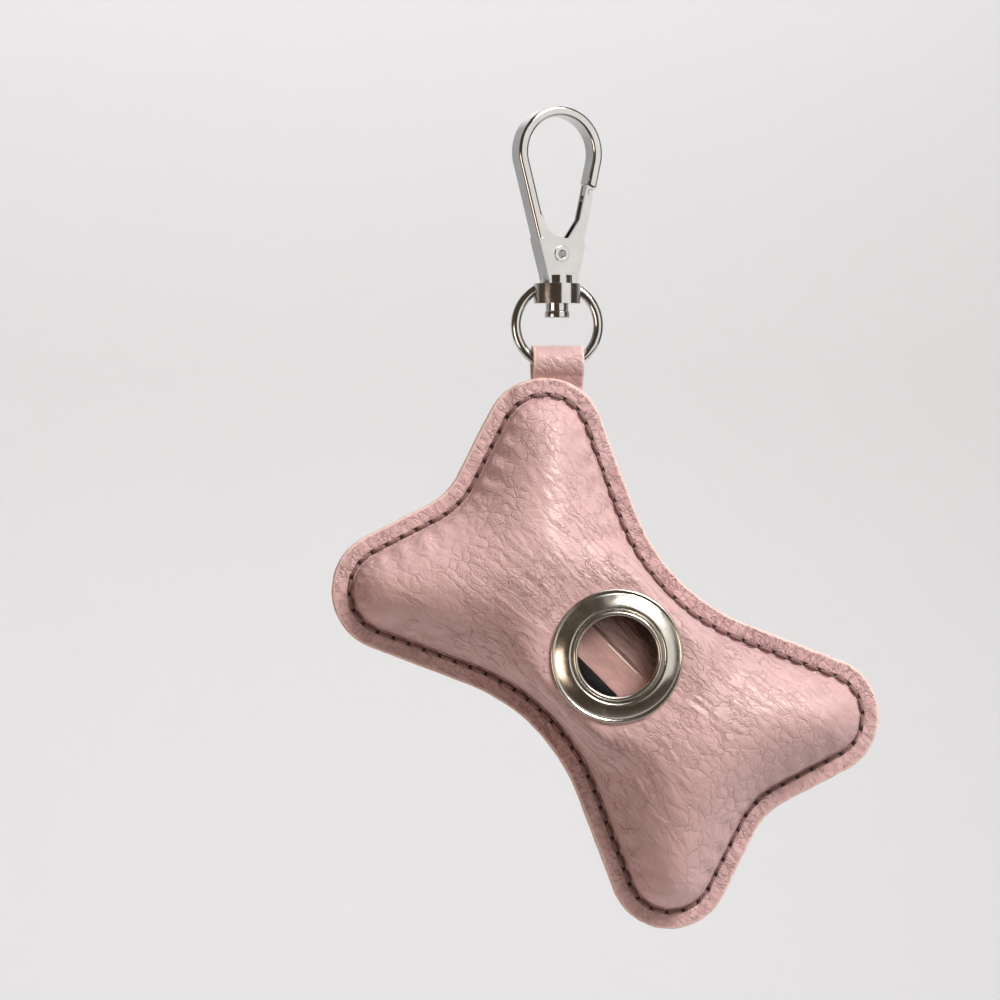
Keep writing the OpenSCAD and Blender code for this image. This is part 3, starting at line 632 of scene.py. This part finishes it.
def sewn_margin(r, uv, inset, tint, height):
    """Adds the margin's wrinkles with painted shade in them, a painted light lift on the margin, the needle
    holes with painted shade in and round them, and the groove that the stitches pull.
    """
    on_margin = r.ramp(inset, 3.6, 4.6, 1.0, 0.0)
    across = r.node("ShaderNodeCombineXYZ", {0: r.times(uv.outputs[0], PITCH),
        1: r.times(uv.outputs[1], 0.3)})
    wrinkle = r.math("ABSOLUTE", r.minus(r.noise(across, 0.75, 3, 0.6, 0.5), 0.5))
    wrinkle = r.times(r.ramp(wrinkle, 0.0, 0.022, 1.0, 0.0), on_margin)
    height = r.minus(height, r.times(wrinkle, 0.14))
    # Painted light: the margin is lifted a little against the shade at the foot of the dome.
    tint = r.painted_light_tint(r.times(on_margin, 0.4), tint, (1.12, 1.10, 1.12))
    # Painted shade in the margin's wrinkles.
    tint = r.painted_light_tint(r.times(wrinkle, 0.28), tint, (0.6, 0.45, 0.45))
    near = r.minus(r.math("FRACT", r.plus(uv.outputs[0], 0.5)), 0.5)
    near = r.times(near, PITCH * 0.45)
    off = r.minus(uv.outputs[1], STITCH_IN)
    away = r.math("SQRT", r.plus(r.times(near, near), r.times(off, off)))
    hole = r.ramp(away, 0.26, 0.50, 1.0, 0.0)
    # Painted shade round each needle hole, and near black painted shade in the holes.
    tint = r.mix(r.times(r.ramp(away, 0.3, 0.9, 1.0, 0.0), 0.14), tint, (0.20, 0.085, 0.085, 1))
    tint = r.mix(hole, tint, (0.030, 0.007, 0.009, 1))
    height = r.minus(height, r.times(hole, 0.45))
    groove = r.ramp(r.math("ABSOLUTE", off), 0.0, 0.8, 1.0, 0.0)
    return tint, r.minus(height, r.times(groove, 0.08))


def leather(name, sewn):
    """Tumbled leather with a pale cut edge, and with a sewn margin if asked."""
    s = bpy.context.scene.pouch_leather
    r = Recipe(name)
    here = r.node("ShaderNodeTexCoord").outputs["Object"]
    height, lines = leather_grain(r, here)
    tint = r.shaded(s.tint, r.ramp(r.noise(here, 60, 4, 0.6), 0.3, 0.7, 0.94, 1.05))
    # Painted shade: the cracks and creases are painted darker.
    tint = r.painted_light_tint(r.times(lines, 0.38), tint, (0.62, 0.48, 0.46))
    uv = r.node("ShaderNodeSeparateXYZ", {0: r.node("ShaderNodeUVMap")})
    inset = r.math("ABSOLUTE", uv.outputs[1])
    cut = r.ramp(r.plus(inset, r.times(r.noise(here, 900, 3), 0.5)), 0.55, 0.85, 1.0, 0.0)
    fibre = r.noise(here, 2400, 3, 0.7)
    pale = r.mix(r.ramp(fibre, 0.3, 0.7), rgba(s.edge_tint), rgba([c * 0.78 for c in s.edge_tint]))
    tint = r.mix(cut, tint, pale)
    if sewn:
        tint, height = sewn_margin(r, uv, inset, tint, height)
    height = r.plus(r.times(height, r.minus(1.0, cut)), r.times(r.times(fibre, cut), 0.2))
    r.bump(height)
    rough = r.plus(r.ramp(lines, 0.0, 1.0, 0.38, 0.6), r.times(cut, 0.3))
    r.set(Base_Color=tint, Roughness=rough, Sheen_Weight=0.10, Sheen_Roughness=0.4, Specular_IOR_Level=0.5)
    return r.material


def polished(name, tint, rough, wear=0.05):
    """Plated metal with soft polishing marks and a little cloudiness."""
    r = Recipe(name)
    marks = r.noise(r.place(), 900, 2, 0.5)
    cloud = r.noise(r.place(), 220, 3, 0.5)
    level = r.ramp(cloud, 0.35, 0.7, rough * 0.8, rough * 1.25)
    level = r.plus(level, r.times(r.ramp(marks, 0.45, 0.75), wear))
    colour = r.shaded(tint, r.ramp(cloud, 0.3, 0.7, 0.93, 1.0))
    r.bump(r.times(marks, 0.003))
    r.set(Base_Color=colour, Metallic=1.0, Roughness=level)
    return r.material


def film(name):
    """Thin soft film: crumples along the roll with painted shade and light that follow them, a painted sheen
    on the loose end, a painted highlight along the fold, and a silky gloss.
    """
    s = bpy.context.scene.pouch_film
    r = Recipe(name)
    here = r.place(turn=(0, -TURN, 0))
    spot = r.node("ShaderNodeSeparateXYZ", {0: r.place(turn=(0, -TURN, 0), shift=BONE_HOME)})
    loose = r.ramp(spot.outputs[2], 0.8 * MM, 1.8 * MM)
    from_fold = r.math("ABSOLUTE", r.minus(spot.outputs[2], 0.57 * MM))
    fold = r.ramp(from_fold, 0.05 * MM, 0.22 * MM, 1.0, 0.0)
    fold = r.times(fold, r.ramp(spot.outputs[0], -2.8 * MM, -2.2 * MM))
    fold = r.times(fold, r.ramp(spot.outputs[0], 5.6 * MM, 6.2 * MM, 1.0, 0.0))
    crumple = r.noise(r.place(scale=(0.35, 1, 1), source=here), 420, 5, 0.6, 1.2)
    lines = r.noise(r.place(scale=(0.04, 1, 1), source=here), 1500, 3, 0.6)
    height = r.times(crumple, r.plus(0.12, r.times(loose, 2.4)))
    height = r.plus(height, r.plus(r.times(lines, 0.05), r.times(fold, 0.2)))
    # Painted shade and light: darker in the crumples' hollows, lighter on their crests.
    colour = r.shaded(s.tint, r.ramp(crumple, 0.3, 0.7, 0.86, 1.06))
    # Painted sheen: a pale lavender on the crumples' crests of the loose end.
    painted_sheen = r.times(r.ramp(crumple, 0.42, 0.62), r.times(loose, 0.6))
    colour = r.mix(painted_sheen, colour, (0.46, 0.36, 0.38, 1))
    # Painted highlight: a pale line along the fold's crest.
    colour = r.mix(fold, colour, (1.0, 0.88, 0.84, 1))
    r.bump(height)
    r.set(Base_Color=colour, Roughness=0.34, Specular_IOR_Level=0.5)
    return r.material


def cloth(name, tint, thread, rough):
    """Plain weave with a little fuzz."""
    r = Recipe(name)
    here = r.place(turn=(0, -TURN, 0))
    weave = r.node("ShaderNodeTexChecker", {"Vector": here, "Scale": 1 / thread})
    fuzz = r.noise(here, 2500, 3, 0.7)
    height = r.plus(r.times(weave.outputs["Fac"], 0.04), r.times(fuzz, 0.08))
    colour = r.mix(r.ramp(fuzz, 0.3, 0.7, 0.0, 0.35), rgba(tint), rgba([c * 0.6 for c in tint]))
    r.bump(height)
    r.set(Base_Color=colour, Roughness=rough, Sheen_Weight=0.2, Sheen_Roughness=0.5)
    return r.material


def thread_twist(name, tint):
    """Two-ply thread: slanting ridges round each stitch, with painted shade in the grooves between them, read
    from its own map.
    """
    r = Recipe(name)
    uv = r.node("ShaderNodeSeparateXYZ", {0: r.node("ShaderNodeUVMap")})
    turn = r.plus(r.times(uv.outputs[0], 2.0), r.times(uv.outputs[1], 7.0))
    ridge = r.math("SINE", r.times(turn, 2 * math.pi))
    twist_relief_and_shade = r.ramp(ridge, -1, 1, 0.0, 1.0)
    # Painted shade: the thread is darker in the grooves of the twist.
    colour = r.mix(twist_relief_and_shade, rgba([c * 0.55 for c in tint]), rgba(tint))
    r.bump(r.times(twist_relief_and_shade, 0.12))
    r.set(Base_Color=colour, Roughness=0.6, Sheen_Weight=0.25, Sheen_Roughness=0.4)
    return r.material


def cardboard(name):
    r = Recipe(name)
    fibre = r.noise(r.place(), 1200, 4, 0.7)
    colour = r.mix(r.ramp(fibre, 0.3, 0.7), (0.42, 0.32, 0.21, 1), (0.52, 0.41, 0.28, 1))
    r.bump(r.times(fibre, 0.06))
    r.set(Base_Color=colour, Roughness=0.88)
    return r.material


def shared(name, make, *values):
    """A material that several pieces use, made once."""
    return bpy.data.materials.get(name) or make(name, *values)


def plated():
    s = bpy.context.scene.pouch_metal
    return shared("bright_plating", polished, s.plating, s.gloss)


def satin():
    s = bpy.context.scene.pouch_metal
    return shared("warm_plating", polished, s.satin, s.gloss + 0.10, 0.03)


def sewn_leather():
    return shared("sewn_leather", leather, True)


def plain_leather():
    return shared("plain_leather", leather, False)


def thread():
    return shared("sewing_thread", thread_twist, (0.34, 0.175, 0.165))


# Operators

class POUCH_OT_front(bpy.types.Operator):
    """Make the front leather panel with its creases round the eyelet"""
    bl_idname = "pouch.front"
    bl_label = "Front leather"

    def execute(self, context):
        seat = lambda p: smooth((24 - np.linalg.norm(p, axis=1)) / 9)
        piece = leather_shell("front_leather", -1, FRONT_SEAT, seat, eyelet_hole, eyelet_middle, 13.6,
                              context.scene.pouch_leather.crease)
        settle(piece, sewn_leather(), "pouch", "leather", "front_panel")
        return {"FINISHED"}


class POUCH_OT_back(bpy.types.Operator):
    """Make the back leather panel with the mouth for the roll"""
    bl_idname = "pouch.back"
    bl_label = "Back leather"

    def execute(self, context):
        seat = lambda p: smooth((44 - np.abs(p[:, 0])) / 6.5)
        piece = leather_shell("back_leather", 1, BACK_SEAT, seat, mouth_hole, mouth_middle, 14.5,
                              context.scene.pouch_leather.crease * 0.6)
        settle(piece, sewn_leather(), "pouch", "leather", "back_panel")
        return {"FINISHED"}


class POUCH_OT_stitches(bpy.types.Operator):
    """Sew the margin, front and back, and the strip that the flap folds from"""
    bl_idname = "pouch.stitches"
    bl_label = "Stitches"

    def execute(self, context):
        line = bone_outline(STITCH_IN, 8)
        step = np.linalg.norm(np.roll(line, -1, 0) - line, axis=1)
        sums = np.concatenate([[0], np.cumsum(step)])
        count = round(sums[-1] / PITCH)
        closed = np.concatenate([line, line[:1]])
        lift = strap_lift(closed)
        at = lambda l, values: np.interp(l % sums[-1], sums, values)
        places = []
        for side in (-1, 1):
            for k in range(count):
                l = (k + 0.5) * sums[-1] / count
                ends = [np.array([at(l + s, closed[:, 0]), at(l + s, lift), at(l + s, closed[:, 1])])
                        for s in (-1.3, 1.3)]
                for e in ends:
                    e[1] = side * (e[1] + LEATHER + 0.06)
                a, b = to_world(ends[0]), to_world(ends[1])
                places.append(((a + b) / 2, b - a, (0, side, 0)))
        sew("seam_stitches", places, thread(), "thread", "seam_thread", 3.0)
        row = []
        for k in range(int(FLAP_LEN / PITCH) - 1):
            u = (k - (int(FLAP_LEN / PITCH) - 1) / 2 + 0.5) * PITCH
            a, b = (to_world([u + s, BACK_SEAT + 0.05 + FLAP_T + 0.14, FOLD_V + 1.55]) for s in (-1.2, 1.2))
            row.append(((a + b) / 2, b - a, (0, 1, 0)))
        sew("hem_stitches", row, thread(), "thread", "flap_thread", 2.7)
        return {"FINISHED"}


def strap_path(foot):
    """The strap's middle line in its own plane, from one sewn end over the ring to the other."""
    r = RING_GAP + STRAP_T / 2
    turn = math.acos(RING_GAP / STRAP_APEX)
    bow = [(r * math.cos(a), r * math.sin(a))
           for a in np.linspace(turn - math.pi / 2, 3 * math.pi / 2 - turn, 40)]
    legs = [(0.56, y) for y in np.linspace(foot, -4.6, 12)]
    path = np.array(legs + bow + [(-x, y) for x, y in legs[::-1]])
    for _ in range(3):
        cut = np.stack([path[:-1] * 0.75 + path[1:] * 0.25, path[:-1] * 0.25 + path[1:] * 0.75], 1)
        path = np.concatenate([path[:1], cut.reshape(-1, 2), path[-1:]])
    run_at = np.concatenate([[0], np.cumsum(np.linalg.norm(np.diff(path, axis=0), axis=1))])
    even = np.linspace(0, run_at[-1], 150)
    return even, np.stack([np.interp(even, run_at, path[:, k]) for k in (0, 1)], 1)


class POUCH_OT_strap(bpy.types.Operator):
    """Fold the hanging strap over the ring and lead its ends in between the panels"""
    bl_idname = "pouch.strap"
    bl_label = "Strap"

    def execute(self, context):
        low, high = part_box("hanging_strap")
        centre = high.z / MM - RING_GAP - STRAP_T
        even, path = strap_path(low.z / MM - centre)
        across = np.linspace(-1, 1, 33)
        grid = np.zeros((len(path), len(across), 3))
        half = STRAP_W / 2 - 0.1
        for i, t in enumerate(across):
            edge = half + 0.1 * value_noise(even * 0.5, np.full(len(even), 3.0 + np.sign(t)), 31)
            crown = 0.12 * (1 - t * t)
            grid[:, i, 0] = t * edge
            grid[:, i, 1] = path[:, 0]
            grid[:, i, 2] = path[:, 1] + centre - crown * 0.3
        inset = (1 - np.abs(across))[None, :] * half
        uv = np.stack(np.broadcast_arrays(even[:, None], inset), -1)
        piece = wrapped_sheet("strap_leather", grid * MM, uv)
        apply_modifier(piece, "SOLIDIFY", thickness=STRAP_T * MM, offset=0.0, use_even_offset=True)
        apply_modifier(piece, "BEVEL", width=0.28 * MM, segments=3, limit_method="ANGLE",
                       angle_limit=math.radians(60))
        smooth_shade(piece, 60)
        settle(piece, plain_leather(), "pouch", "leather", "hanging_strap")
        return {"FINISHED"}


def flap_edge(half):
    """Places along the flap and its free edge there, with round corners and a tongue for the stud."""
    side, tongue = MOUTH_V - MOUTH_R - 2, CAP_R + 0.6
    u = np.concatenate([np.linspace(-half, -half + CORNER_R, 14)[:-1],
                        np.linspace(-half + CORNER_R, half - CORNER_R, 150),
                        np.linspace(half - CORNER_R, half, 14)[1:]])
    low = np.full(len(u), side)
    corner = np.abs(u) > half - CORNER_R
    past = np.abs(u[corner]) - half + CORNER_R
    low[corner] = side + CORNER_R - np.sqrt(np.maximum(0, CORNER_R ** 2 - past ** 2))
    neck = np.abs(u) < 17
    low[neck] = np.minimum(low[neck], SNAP_V + (np.abs(u[neck]) - 5) / 12 * (side - SNAP_V))
    cap = np.abs(u) < tongue
    low[cap] = np.minimum(low[cap], SNAP_V - np.sqrt(tongue ** 2 - u[cap] ** 2))
    return u, low


class POUCH_OT_flap(bpy.types.Operator):
    """Make the flap over the loading mouth"""
    bl_idname = "pouch.flap"
    bl_label = "Back flap"

    def execute(self, context):
        half, top = FLAP_LEN / 2, FOLD_V + 2.9
        u, low = flap_edge(half)
        rows = np.linspace(0, 1, 70)[:, None]
        v = top + (low - top) * rows
        grid = np.zeros((70, len(u), 3))
        grid[..., 0] = u
        grid[..., 2] = v
        swell = value_noise(grid[..., 0] * 0.12, v * 0.12, 41) * 0.12
        grid[..., 1] = BACK_SEAT + 0.15 + FLAP_T / 2 + np.abs(swell) * smooth((FOLD_V - v) / 6)
        rim = np.concatenate([np.stack([u, low], 1), [[half, top], [-half, top]]])
        rim = np.concatenate([rim, rim[:1]])
        flat = grid.reshape(-1, 3)[:, [0, 2]]
        a, b = rim[:-1], rim[1:]
        t = np.clip(((flat[:, None] - a) * (b - a)).sum(-1) / np.maximum(1e-9, ((b - a) ** 2).sum(-1)), 0, 1)
        inset = np.linalg.norm(flat[:, None] - (a + t[..., None] * (b - a)), axis=-1).min(1).reshape(v.shape)
        uv = np.stack([grid[..., 0], inset], -1)
        piece = wrapped_sheet("flap_leather", to_world(grid), uv)
        apply_modifier(piece, "SOLIDIFY", thickness=FLAP_T * MM, offset=0.0)
        apply_modifier(piece, "BEVEL", width=0.3 * MM, segments=3, limit_method="ANGLE",
                       angle_limit=math.radians(60))
        smooth_shade(piece, 60)
        piece.data.materials.clear()
        piece.data.materials.append(plain_leather())
        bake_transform(piece)
        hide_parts("back_flap", "flap_hem")
        return {"FINISHED"}


def eyelet_profile():
    """The eyelet's section as (radius, height): barrel, rolled lip, groove, sloped flange and rim."""
    low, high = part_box("eyelet_front")
    top, rim, end = -low.y / MM, (high.x - low.x) / 2 / MM, -high.y / MM
    hole, under = EYELET_HOLE_R, FRONT_SEAT + 0.05
    crown = np.linspace(0, 1, 16)
    return np.concatenate([
        [[hole, end], [hole, end + 0.6]],
        run(np.array([hole, end + 1.2]), np.array([hole, top - 0.5]), 6),
        arc([hole + 0.45, top - 0.47], 0.45, 180, 0, 14),
        [[hole + 0.92, top - 0.62], [hole + 1.0, top - 0.66], [hole + 1.1, top - 0.62]],
        arc([hole + 1.75, top - 0.55], 0.5, 170, 95, 8),
        np.stack([hole + 1.85 + (rim - 0.95 - hole - 1.85) * crown, top - 0.05 - 1.12 * crown ** 1.35], 1),
        [[rim - 0.80, under + 0.42], [rim - 0.72, under + 0.40]],
        arc([rim - 0.33, under + 0.33], 0.33, 130, -60, 14),
        run(np.array([rim - 0.3, under]), np.array([hole + 0.7, under]), 8),
        [[hole + 0.5, under - 0.2], [hole + 0.5, end + 0.3], [hole + 0.55, end + 0.12],
         [hole + 1.2, end + 0.1], [hole + 1.3, end + 0.05], [hole + 1.25, end], [hole, end]]])


class POUCH_OT_fittings(bpy.types.Operator):
    """Finish the eyelet, its washer and the press stud"""
    bl_idname = "pouch.fittings"
    bl_label = "Eyelet and press stud"

    def execute(self, context):
        profile = eyelet_profile()
        around = np.radians(np.linspace(0, 360, 181))
        grid = np.stack([profile[:, :1] * np.cos(around), -profile[:, 1:] + 0 * around,
                         profile[:, :1] * np.sin(around)], -1)
        uv = np.stack(np.broadcast_arrays(around, profile[:, :1]), -1)
        eyelet = wrapped_sheet("eyelet", to_world(grid), uv)
        smooth_shade(eyelet, 60)
        settle(eyelet, satin(), "pouch", "satin_nickel", "eyelet_front")
        for node, name, body, ease in (
                ("eyelet_washer", "eyelet_ring", "pouch", 0.05),
                ("snap_stud", "stud_ball", "pouch", 0.0), ("snap_post", "stud_disc", "pouch", 0.1),
                ("snap_cap", "stud_cap", "flap", 0.25), ("snap_socket", "stud_socket", "flap", 0.08)):
            settle(cast_copy(node, name, ease, 3), satin(), body, "satin_nickel", node)
        return {"FINISHED"}


class POUCH_OT_clasp(bpy.types.Operator):
    """Finish the snap hook, its gate, pin, spring, rivet and ring"""
    bl_idname = "pouch.clasp"
    bl_label = "Snap hook"

    def execute(self, context):
        for node, name, body, ease in (
                ("hook_body", "hook_casting", "clasp", 0.3), ("gate", "gate_lever", "gate", 0.10),
                ("gate_pin", "gate_rivet", "clasp", 0.18), ("swivel_rivet", "swivel_stem", "clasp", 0.2),
                ("swivel_eye", "ring_casting", "swivel", 0.18)):
            settle(cast_copy(node, name, ease, 3), plated(), body, "polished_nickel", node)
        spring = cast_copy("gate_spring", "gate_coil", 0.0)
        settle(spring, shared("spring_wire", polished, (0.42, 0.42, 0.43), 0.28), "clasp", "spring_steel",
               "gate_spring")
        return {"FINISHED"}


def wound_film(front):
    """The roll: crumpled outside, wound edges at the ends and the bore that the core fills."""
    half, bore = ROLL_HALF, CORE_R + 0.02
    around = np.radians(np.linspace(0, 360, 193))
    section = [(x, ROLL_R) for x in np.linspace(-half, half, 60)]
    section += [(half, q) for q in np.linspace(ROLL_R - 0.1, bore, 30)]
    section += [(x, bore) for x in np.linspace(half - 2, 2 - half, 6)]
    section += [(-half, q) for q in np.linspace(bore, ROLL_R - 0.1, 30)]
    section = np.array(section + section[:1])
    x, q = section[:, :1] + 0 * around, section[:, 1:] + 0 * around
    outer = smooth((q - ROLL_R + 0.6) / 0.5)
    crumple = np.abs(value_noise(x * 0.22, around * 2.4 + 0 * x, 51)) * 0.5
    crumple += np.abs(value_noise(x * 0.6, around * 7 + 0 * x, 52)) * 0.25
    q = q - outer * crumple * smooth((half - np.abs(x)) / 2) * 0.6
    windings = value_noise(section[:, 1:] * 5.5 + around / 6.283, 0 * around + 4.0 + np.sign(x), 53) - 0.5
    x = x + (np.abs(section[:, :1]) > half - 0.01) * (1 - outer) * windings * 0.35 * np.sign(x)
    grid = np.stack([x, -front + q * np.cos(around), q * np.sin(around)], -1)
    piece = wrapped_sheet("film_roll", to_world(grid), np.stack([around + 0 * x, x], -1))
    smooth_shade(piece, 40)
    return piece


def loose_film(front):
    """The outer bag's free end: it leaves the roll in front and hangs straight, with one fold."""
    angles = np.radians(np.linspace(90, 180, 40))
    path = np.stack([TAIL_R * np.cos(angles), TAIL_R * np.sin(angles)], 1)
    free = np.stack([np.linspace(-TAIL_R, TAIL_END[0], 18)[1:], np.linspace(0, TAIL_END[1], 18)[1:]], 1)
    path = np.concatenate([path, free])
    along = np.linspace(-TAIL_HALF, TAIL_HALF, 97)
    grid = np.zeros((len(path), len(along), 3))
    grid[..., 0] = along
    wave = value_noise(along * 0.18 + 0 * path[:, :1], path[:, 1:] * 0.35 + 0 * along, 61) * 0.22
    fold = 0.16 * np.exp(-((path[:, 1:] - 0.5) / 0.3) ** 2)
    fold = fold * smooth((along + 4) / 2) * smooth((8 - along) / 2)
    grid[..., 1] = -front + path[:, :1] - (wave + fold) * smooth((2 - path[:, 1:]) / 3)
    grid[..., 2] = path[:, 1:] + 0.1 * value_noise(along * 0.3, 0 * along + 2, 62) * smooth(-path[:, 1:] / 4)
    tail = wrapped_sheet("film_end", to_world(grid), np.stack([grid[..., 0], grid[..., 2]], -1))
    apply_modifier(tail, "SOLIDIFY", thickness=0.2 * MM, offset=0.0)
    smooth_shade(tail, 50)
    return tail


class POUCH_OT_roll(bpy.types.Operator):
    """Wind the roll of bags, leave its free end loose, and line the pocket round it"""
    bl_idname = "pouch.roll"
    bl_label = "Roll and pocket"

    def execute(self, context):
        front = -(roll_low.y + roll_high.y) / 2 / MM
        soft = shared("soft_film", film)
        settle(wound_film(front), soft, "roll", "bag_film", "bag_roll")
        settle(loose_film(front), soft, "roll", "bag_film", "bag_tail")
        core = cast_copy("roll_core", "card_core", 0.15)
        settle(core, shared("core_card", cardboard), "roll", "cardboard", "roll_core")
        # The sleeve is black cloth, and its near-black colour also stands in for the deep shade beyond the
        # film's free edge: partly painted shade.
        sleeve = cast_copy("bag_pocket", "black_sleeve_and_shade", 0.05)
        sleeve_black_and_shade = shared("sleeve_cloth", cloth, (0.012, 0.011, 0.011), 0.0004, 0.8)
        settle(sleeve, sleeve_black_and_shade, "pouch", "black_cloth", "bag_pocket")
        return {"FINISHED"}


class POUCH_OT_stuffing(bpy.types.Operator):
    """Pull the wads of stuffing in the four lobes into soft lumps"""
    bl_idname = "pouch.stuffing"
    bl_label = "Stuffing"

    def execute(self, context):
        fibre = shared("stuffing_fibre", cloth, (0.80, 0.78, 0.73), 0.0006, 0.95)
        for k, corner in enumerate(("top", "left", "right", "bottom")):
            piece = cast_copy(f"lobe_pad_{corner}", f"wad_{corner}")
            apply_modifier(piece, "REMESH", mode="VOXEL", voxel_size=0.6 * MM)
            apply_modifier(piece, "SMOOTH", factor=0.5, iterations=6)
            co = np.array([v.co for v in piece.data.vertices]) / MM
            normal = np.array([v.normal for v in piece.data.vertices])
            lumps = np.abs(value_noise(co[:, 0] * 0.5 + co[:, 1] * 0.3, co[:, 2] * 0.5, 70 + k)) * 1.1
            piece.data.vertices.foreach_set("co", ((co - normal * lumps[:, None]) * MM).ravel())
            piece.data.update()
            smooth_shade(piece, 80)
            settle(piece, fibre, "pouch", "stuffing", f"lobe_pad_{corner}")
        return {"FINISHED"}


def pale_sweep(backdrop):
    """A floor that bends up into a wall."""
    path = [(x, SWEEP_FLOOR) for x in np.linspace(SWEEP_NEAR, SWEEP_WALL - SWEEP_BEND, 16)]
    for a in np.radians(np.linspace(-90, 0, 24))[1:]:
        path.append((SWEEP_WALL - SWEEP_BEND + SWEEP_BEND * math.cos(a),
                     SWEEP_FLOOR + SWEEP_BEND + SWEEP_BEND * math.sin(a)))
    path += [(SWEEP_WALL, z) for z in np.linspace(SWEEP_FLOOR + SWEEP_BEND, SWEEP_TOP, 18)[1:]]
    path = np.array(path)
    grid = np.zeros((len(path), 2, 3))
    grid[:, 0, 0], grid[:, 1, 0] = -SWEEP_HALF, SWEEP_HALF
    grid[..., 1], grid[..., 2] = path[:, :1], path[:, 1:]
    sweep = wrapped_sheet("sweep", grid, np.zeros((len(path), 2, 2)), merge=False)
    r = Recipe("sweep_paper")
    grain = r.noise(r.place(), 30, 2)
    r.set(Base_Color=r.mix(grain, rgba(backdrop), rgba([c * 0.99 for c in backdrop])), Roughness=0.9)
    sweep.data.materials.append(r.material)
    smooth_shade(sweep, 60)


def soft_lamps(scene, key):
    for name, place, width, height, share, colour, aim in LAMPS:
        light = bpy.data.lights.new(name, "AREA")
        light.shape = "RECTANGLE"
        light.energy, light.size, light.size_y, light.color = key * share, width, height, colour
        lamp = bpy.data.objects.new(name, light)
        lamp.location = place
        lamp.rotation_euler = (aim - lamp.location).to_track_quat("-Z", "Y").to_euler()
        scene.collection.objects.link(lamp)


def studio_world():
    world = bpy.data.worlds.new("studio")
    world.use_nodes = True
    tree = world.node_tree
    shine = next(n for n in tree.nodes if n.type == "BACKGROUND")
    coord = tree.nodes.new("ShaderNodeTexCoord")
    split = tree.nodes.new("ShaderNodeSeparateXYZ")
    reach = tree.nodes.new("ShaderNodeMapRange")
    reach.inputs["From Min"].default_value, reach.inputs["From Max"].default_value = WORLD_REACH
    band = tree.nodes.new("ShaderNodeValToRGB")
    tree.links.new(coord.outputs["Generated"], split.inputs[0])
    tree.links.new(split.outputs["Y"], reach.inputs["Value"])
    tree.links.new(reach.outputs[0], band.inputs[0])
    for element, place, colour in zip(band.color_ramp.elements, (0.0, 1.0), (WORLD_FRONT, WORLD_BACK)):
        element.position, element.color = place, colour
    tree.links.new(band.outputs[0], shine.inputs[0])
    shine.inputs[1].default_value = WORLD_STRENGTH
    return world


def studio_camera(distance):
    camera = bpy.data.objects.new("camera", bpy.data.cameras.new("camera"))
    camera.location = TARGET + distance * Vector((math.sin(CAMERA_YAW), -math.cos(CAMERA_YAW), 0))
    camera.rotation_euler = (TARGET - camera.location).to_track_quat("-Z", "Y").to_euler()
    camera.data.sensor_width = SENSOR_WIDTH
    camera.data.lens = SENSOR_WIDTH * distance / FRAME_WIDTH
    camera.data.clip_start, camera.data.clip_end = 0.01, 20
    return camera


class POUCH_OT_studio(bpy.types.Operator):
    """Set the pale sweep, the soft lights and the camera"""
    bl_idname = "pouch.studio"
    bl_label = "Studio"

    def execute(self, context):
        s = context.scene.pouch_studio
        pale_sweep(s.backdrop)
        soft_lamps(context.scene, s.key)
        context.scene.world = studio_world()
        camera = studio_camera(s.distance)
        context.scene.collection.objects.link(camera)
        context.scene.camera = camera
        context.scene.view_settings.view_transform = "Standard"
        return {"FINISHED"}


class POUCH_PT_panel(bpy.types.Panel):
    """The pouch's settings and pieces, in the sidebar"""
    bl_label = "Pouch"
    bl_space_type = "VIEW_3D"
    bl_region_type = "UI"
    bl_category = "Pouch"

    def draw(self, context):
        scene = context.scene
        for group in (scene.pouch_leather, scene.pouch_metal, scene.pouch_film, scene.pouch_studio):
            box = self.layout.box()
            for key in group.bl_rna.properties.keys():
                if key not in ("rna_type", "name"):
                    box.prop(group, key)
        for operator in OPERATORS:
            self.layout.operator(operator.bl_idname)


OPERATORS = (POUCH_OT_studio, POUCH_OT_front, POUCH_OT_back, POUCH_OT_stitches, POUCH_OT_strap, POUCH_OT_flap,
             POUCH_OT_fittings, POUCH_OT_clasp, POUCH_OT_roll, POUCH_OT_stuffing)
GROUPS = {"pouch_leather": LeatherSettings, "pouch_metal": MetalSettings, "pouch_film": FilmSettings,
          "pouch_studio": StudioSettings}


def register():
    for name, group in GROUPS.items():
        bpy.utils.register_class(group)
        setattr(bpy.types.Scene, name, PointerProperty(type=group))
    for thing in (*OPERATORS, POUCH_PT_panel):
        bpy.utils.register_class(thing)


def unregister():
    for thing in (*OPERATORS, POUCH_PT_panel):
        bpy.utils.unregister_class(thing)
    for name, group in GROUPS.items():
        delattr(bpy.types.Scene, name)
        bpy.utils.unregister_class(group)


def main():
    register()
    bpy.ops.pouch.studio()
    bpy.ops.pouch.front()
    bpy.ops.pouch.back()
    bpy.ops.pouch.stitches()
    bpy.ops.pouch.strap()
    bpy.ops.pouch.flap()
    bpy.ops.pouch.fittings()
    bpy.ops.pouch.clasp()
    bpy.ops.pouch.roll()
    bpy.ops.pouch.stuffing()
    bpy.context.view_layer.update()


if __name__ == "__main__":
    main()
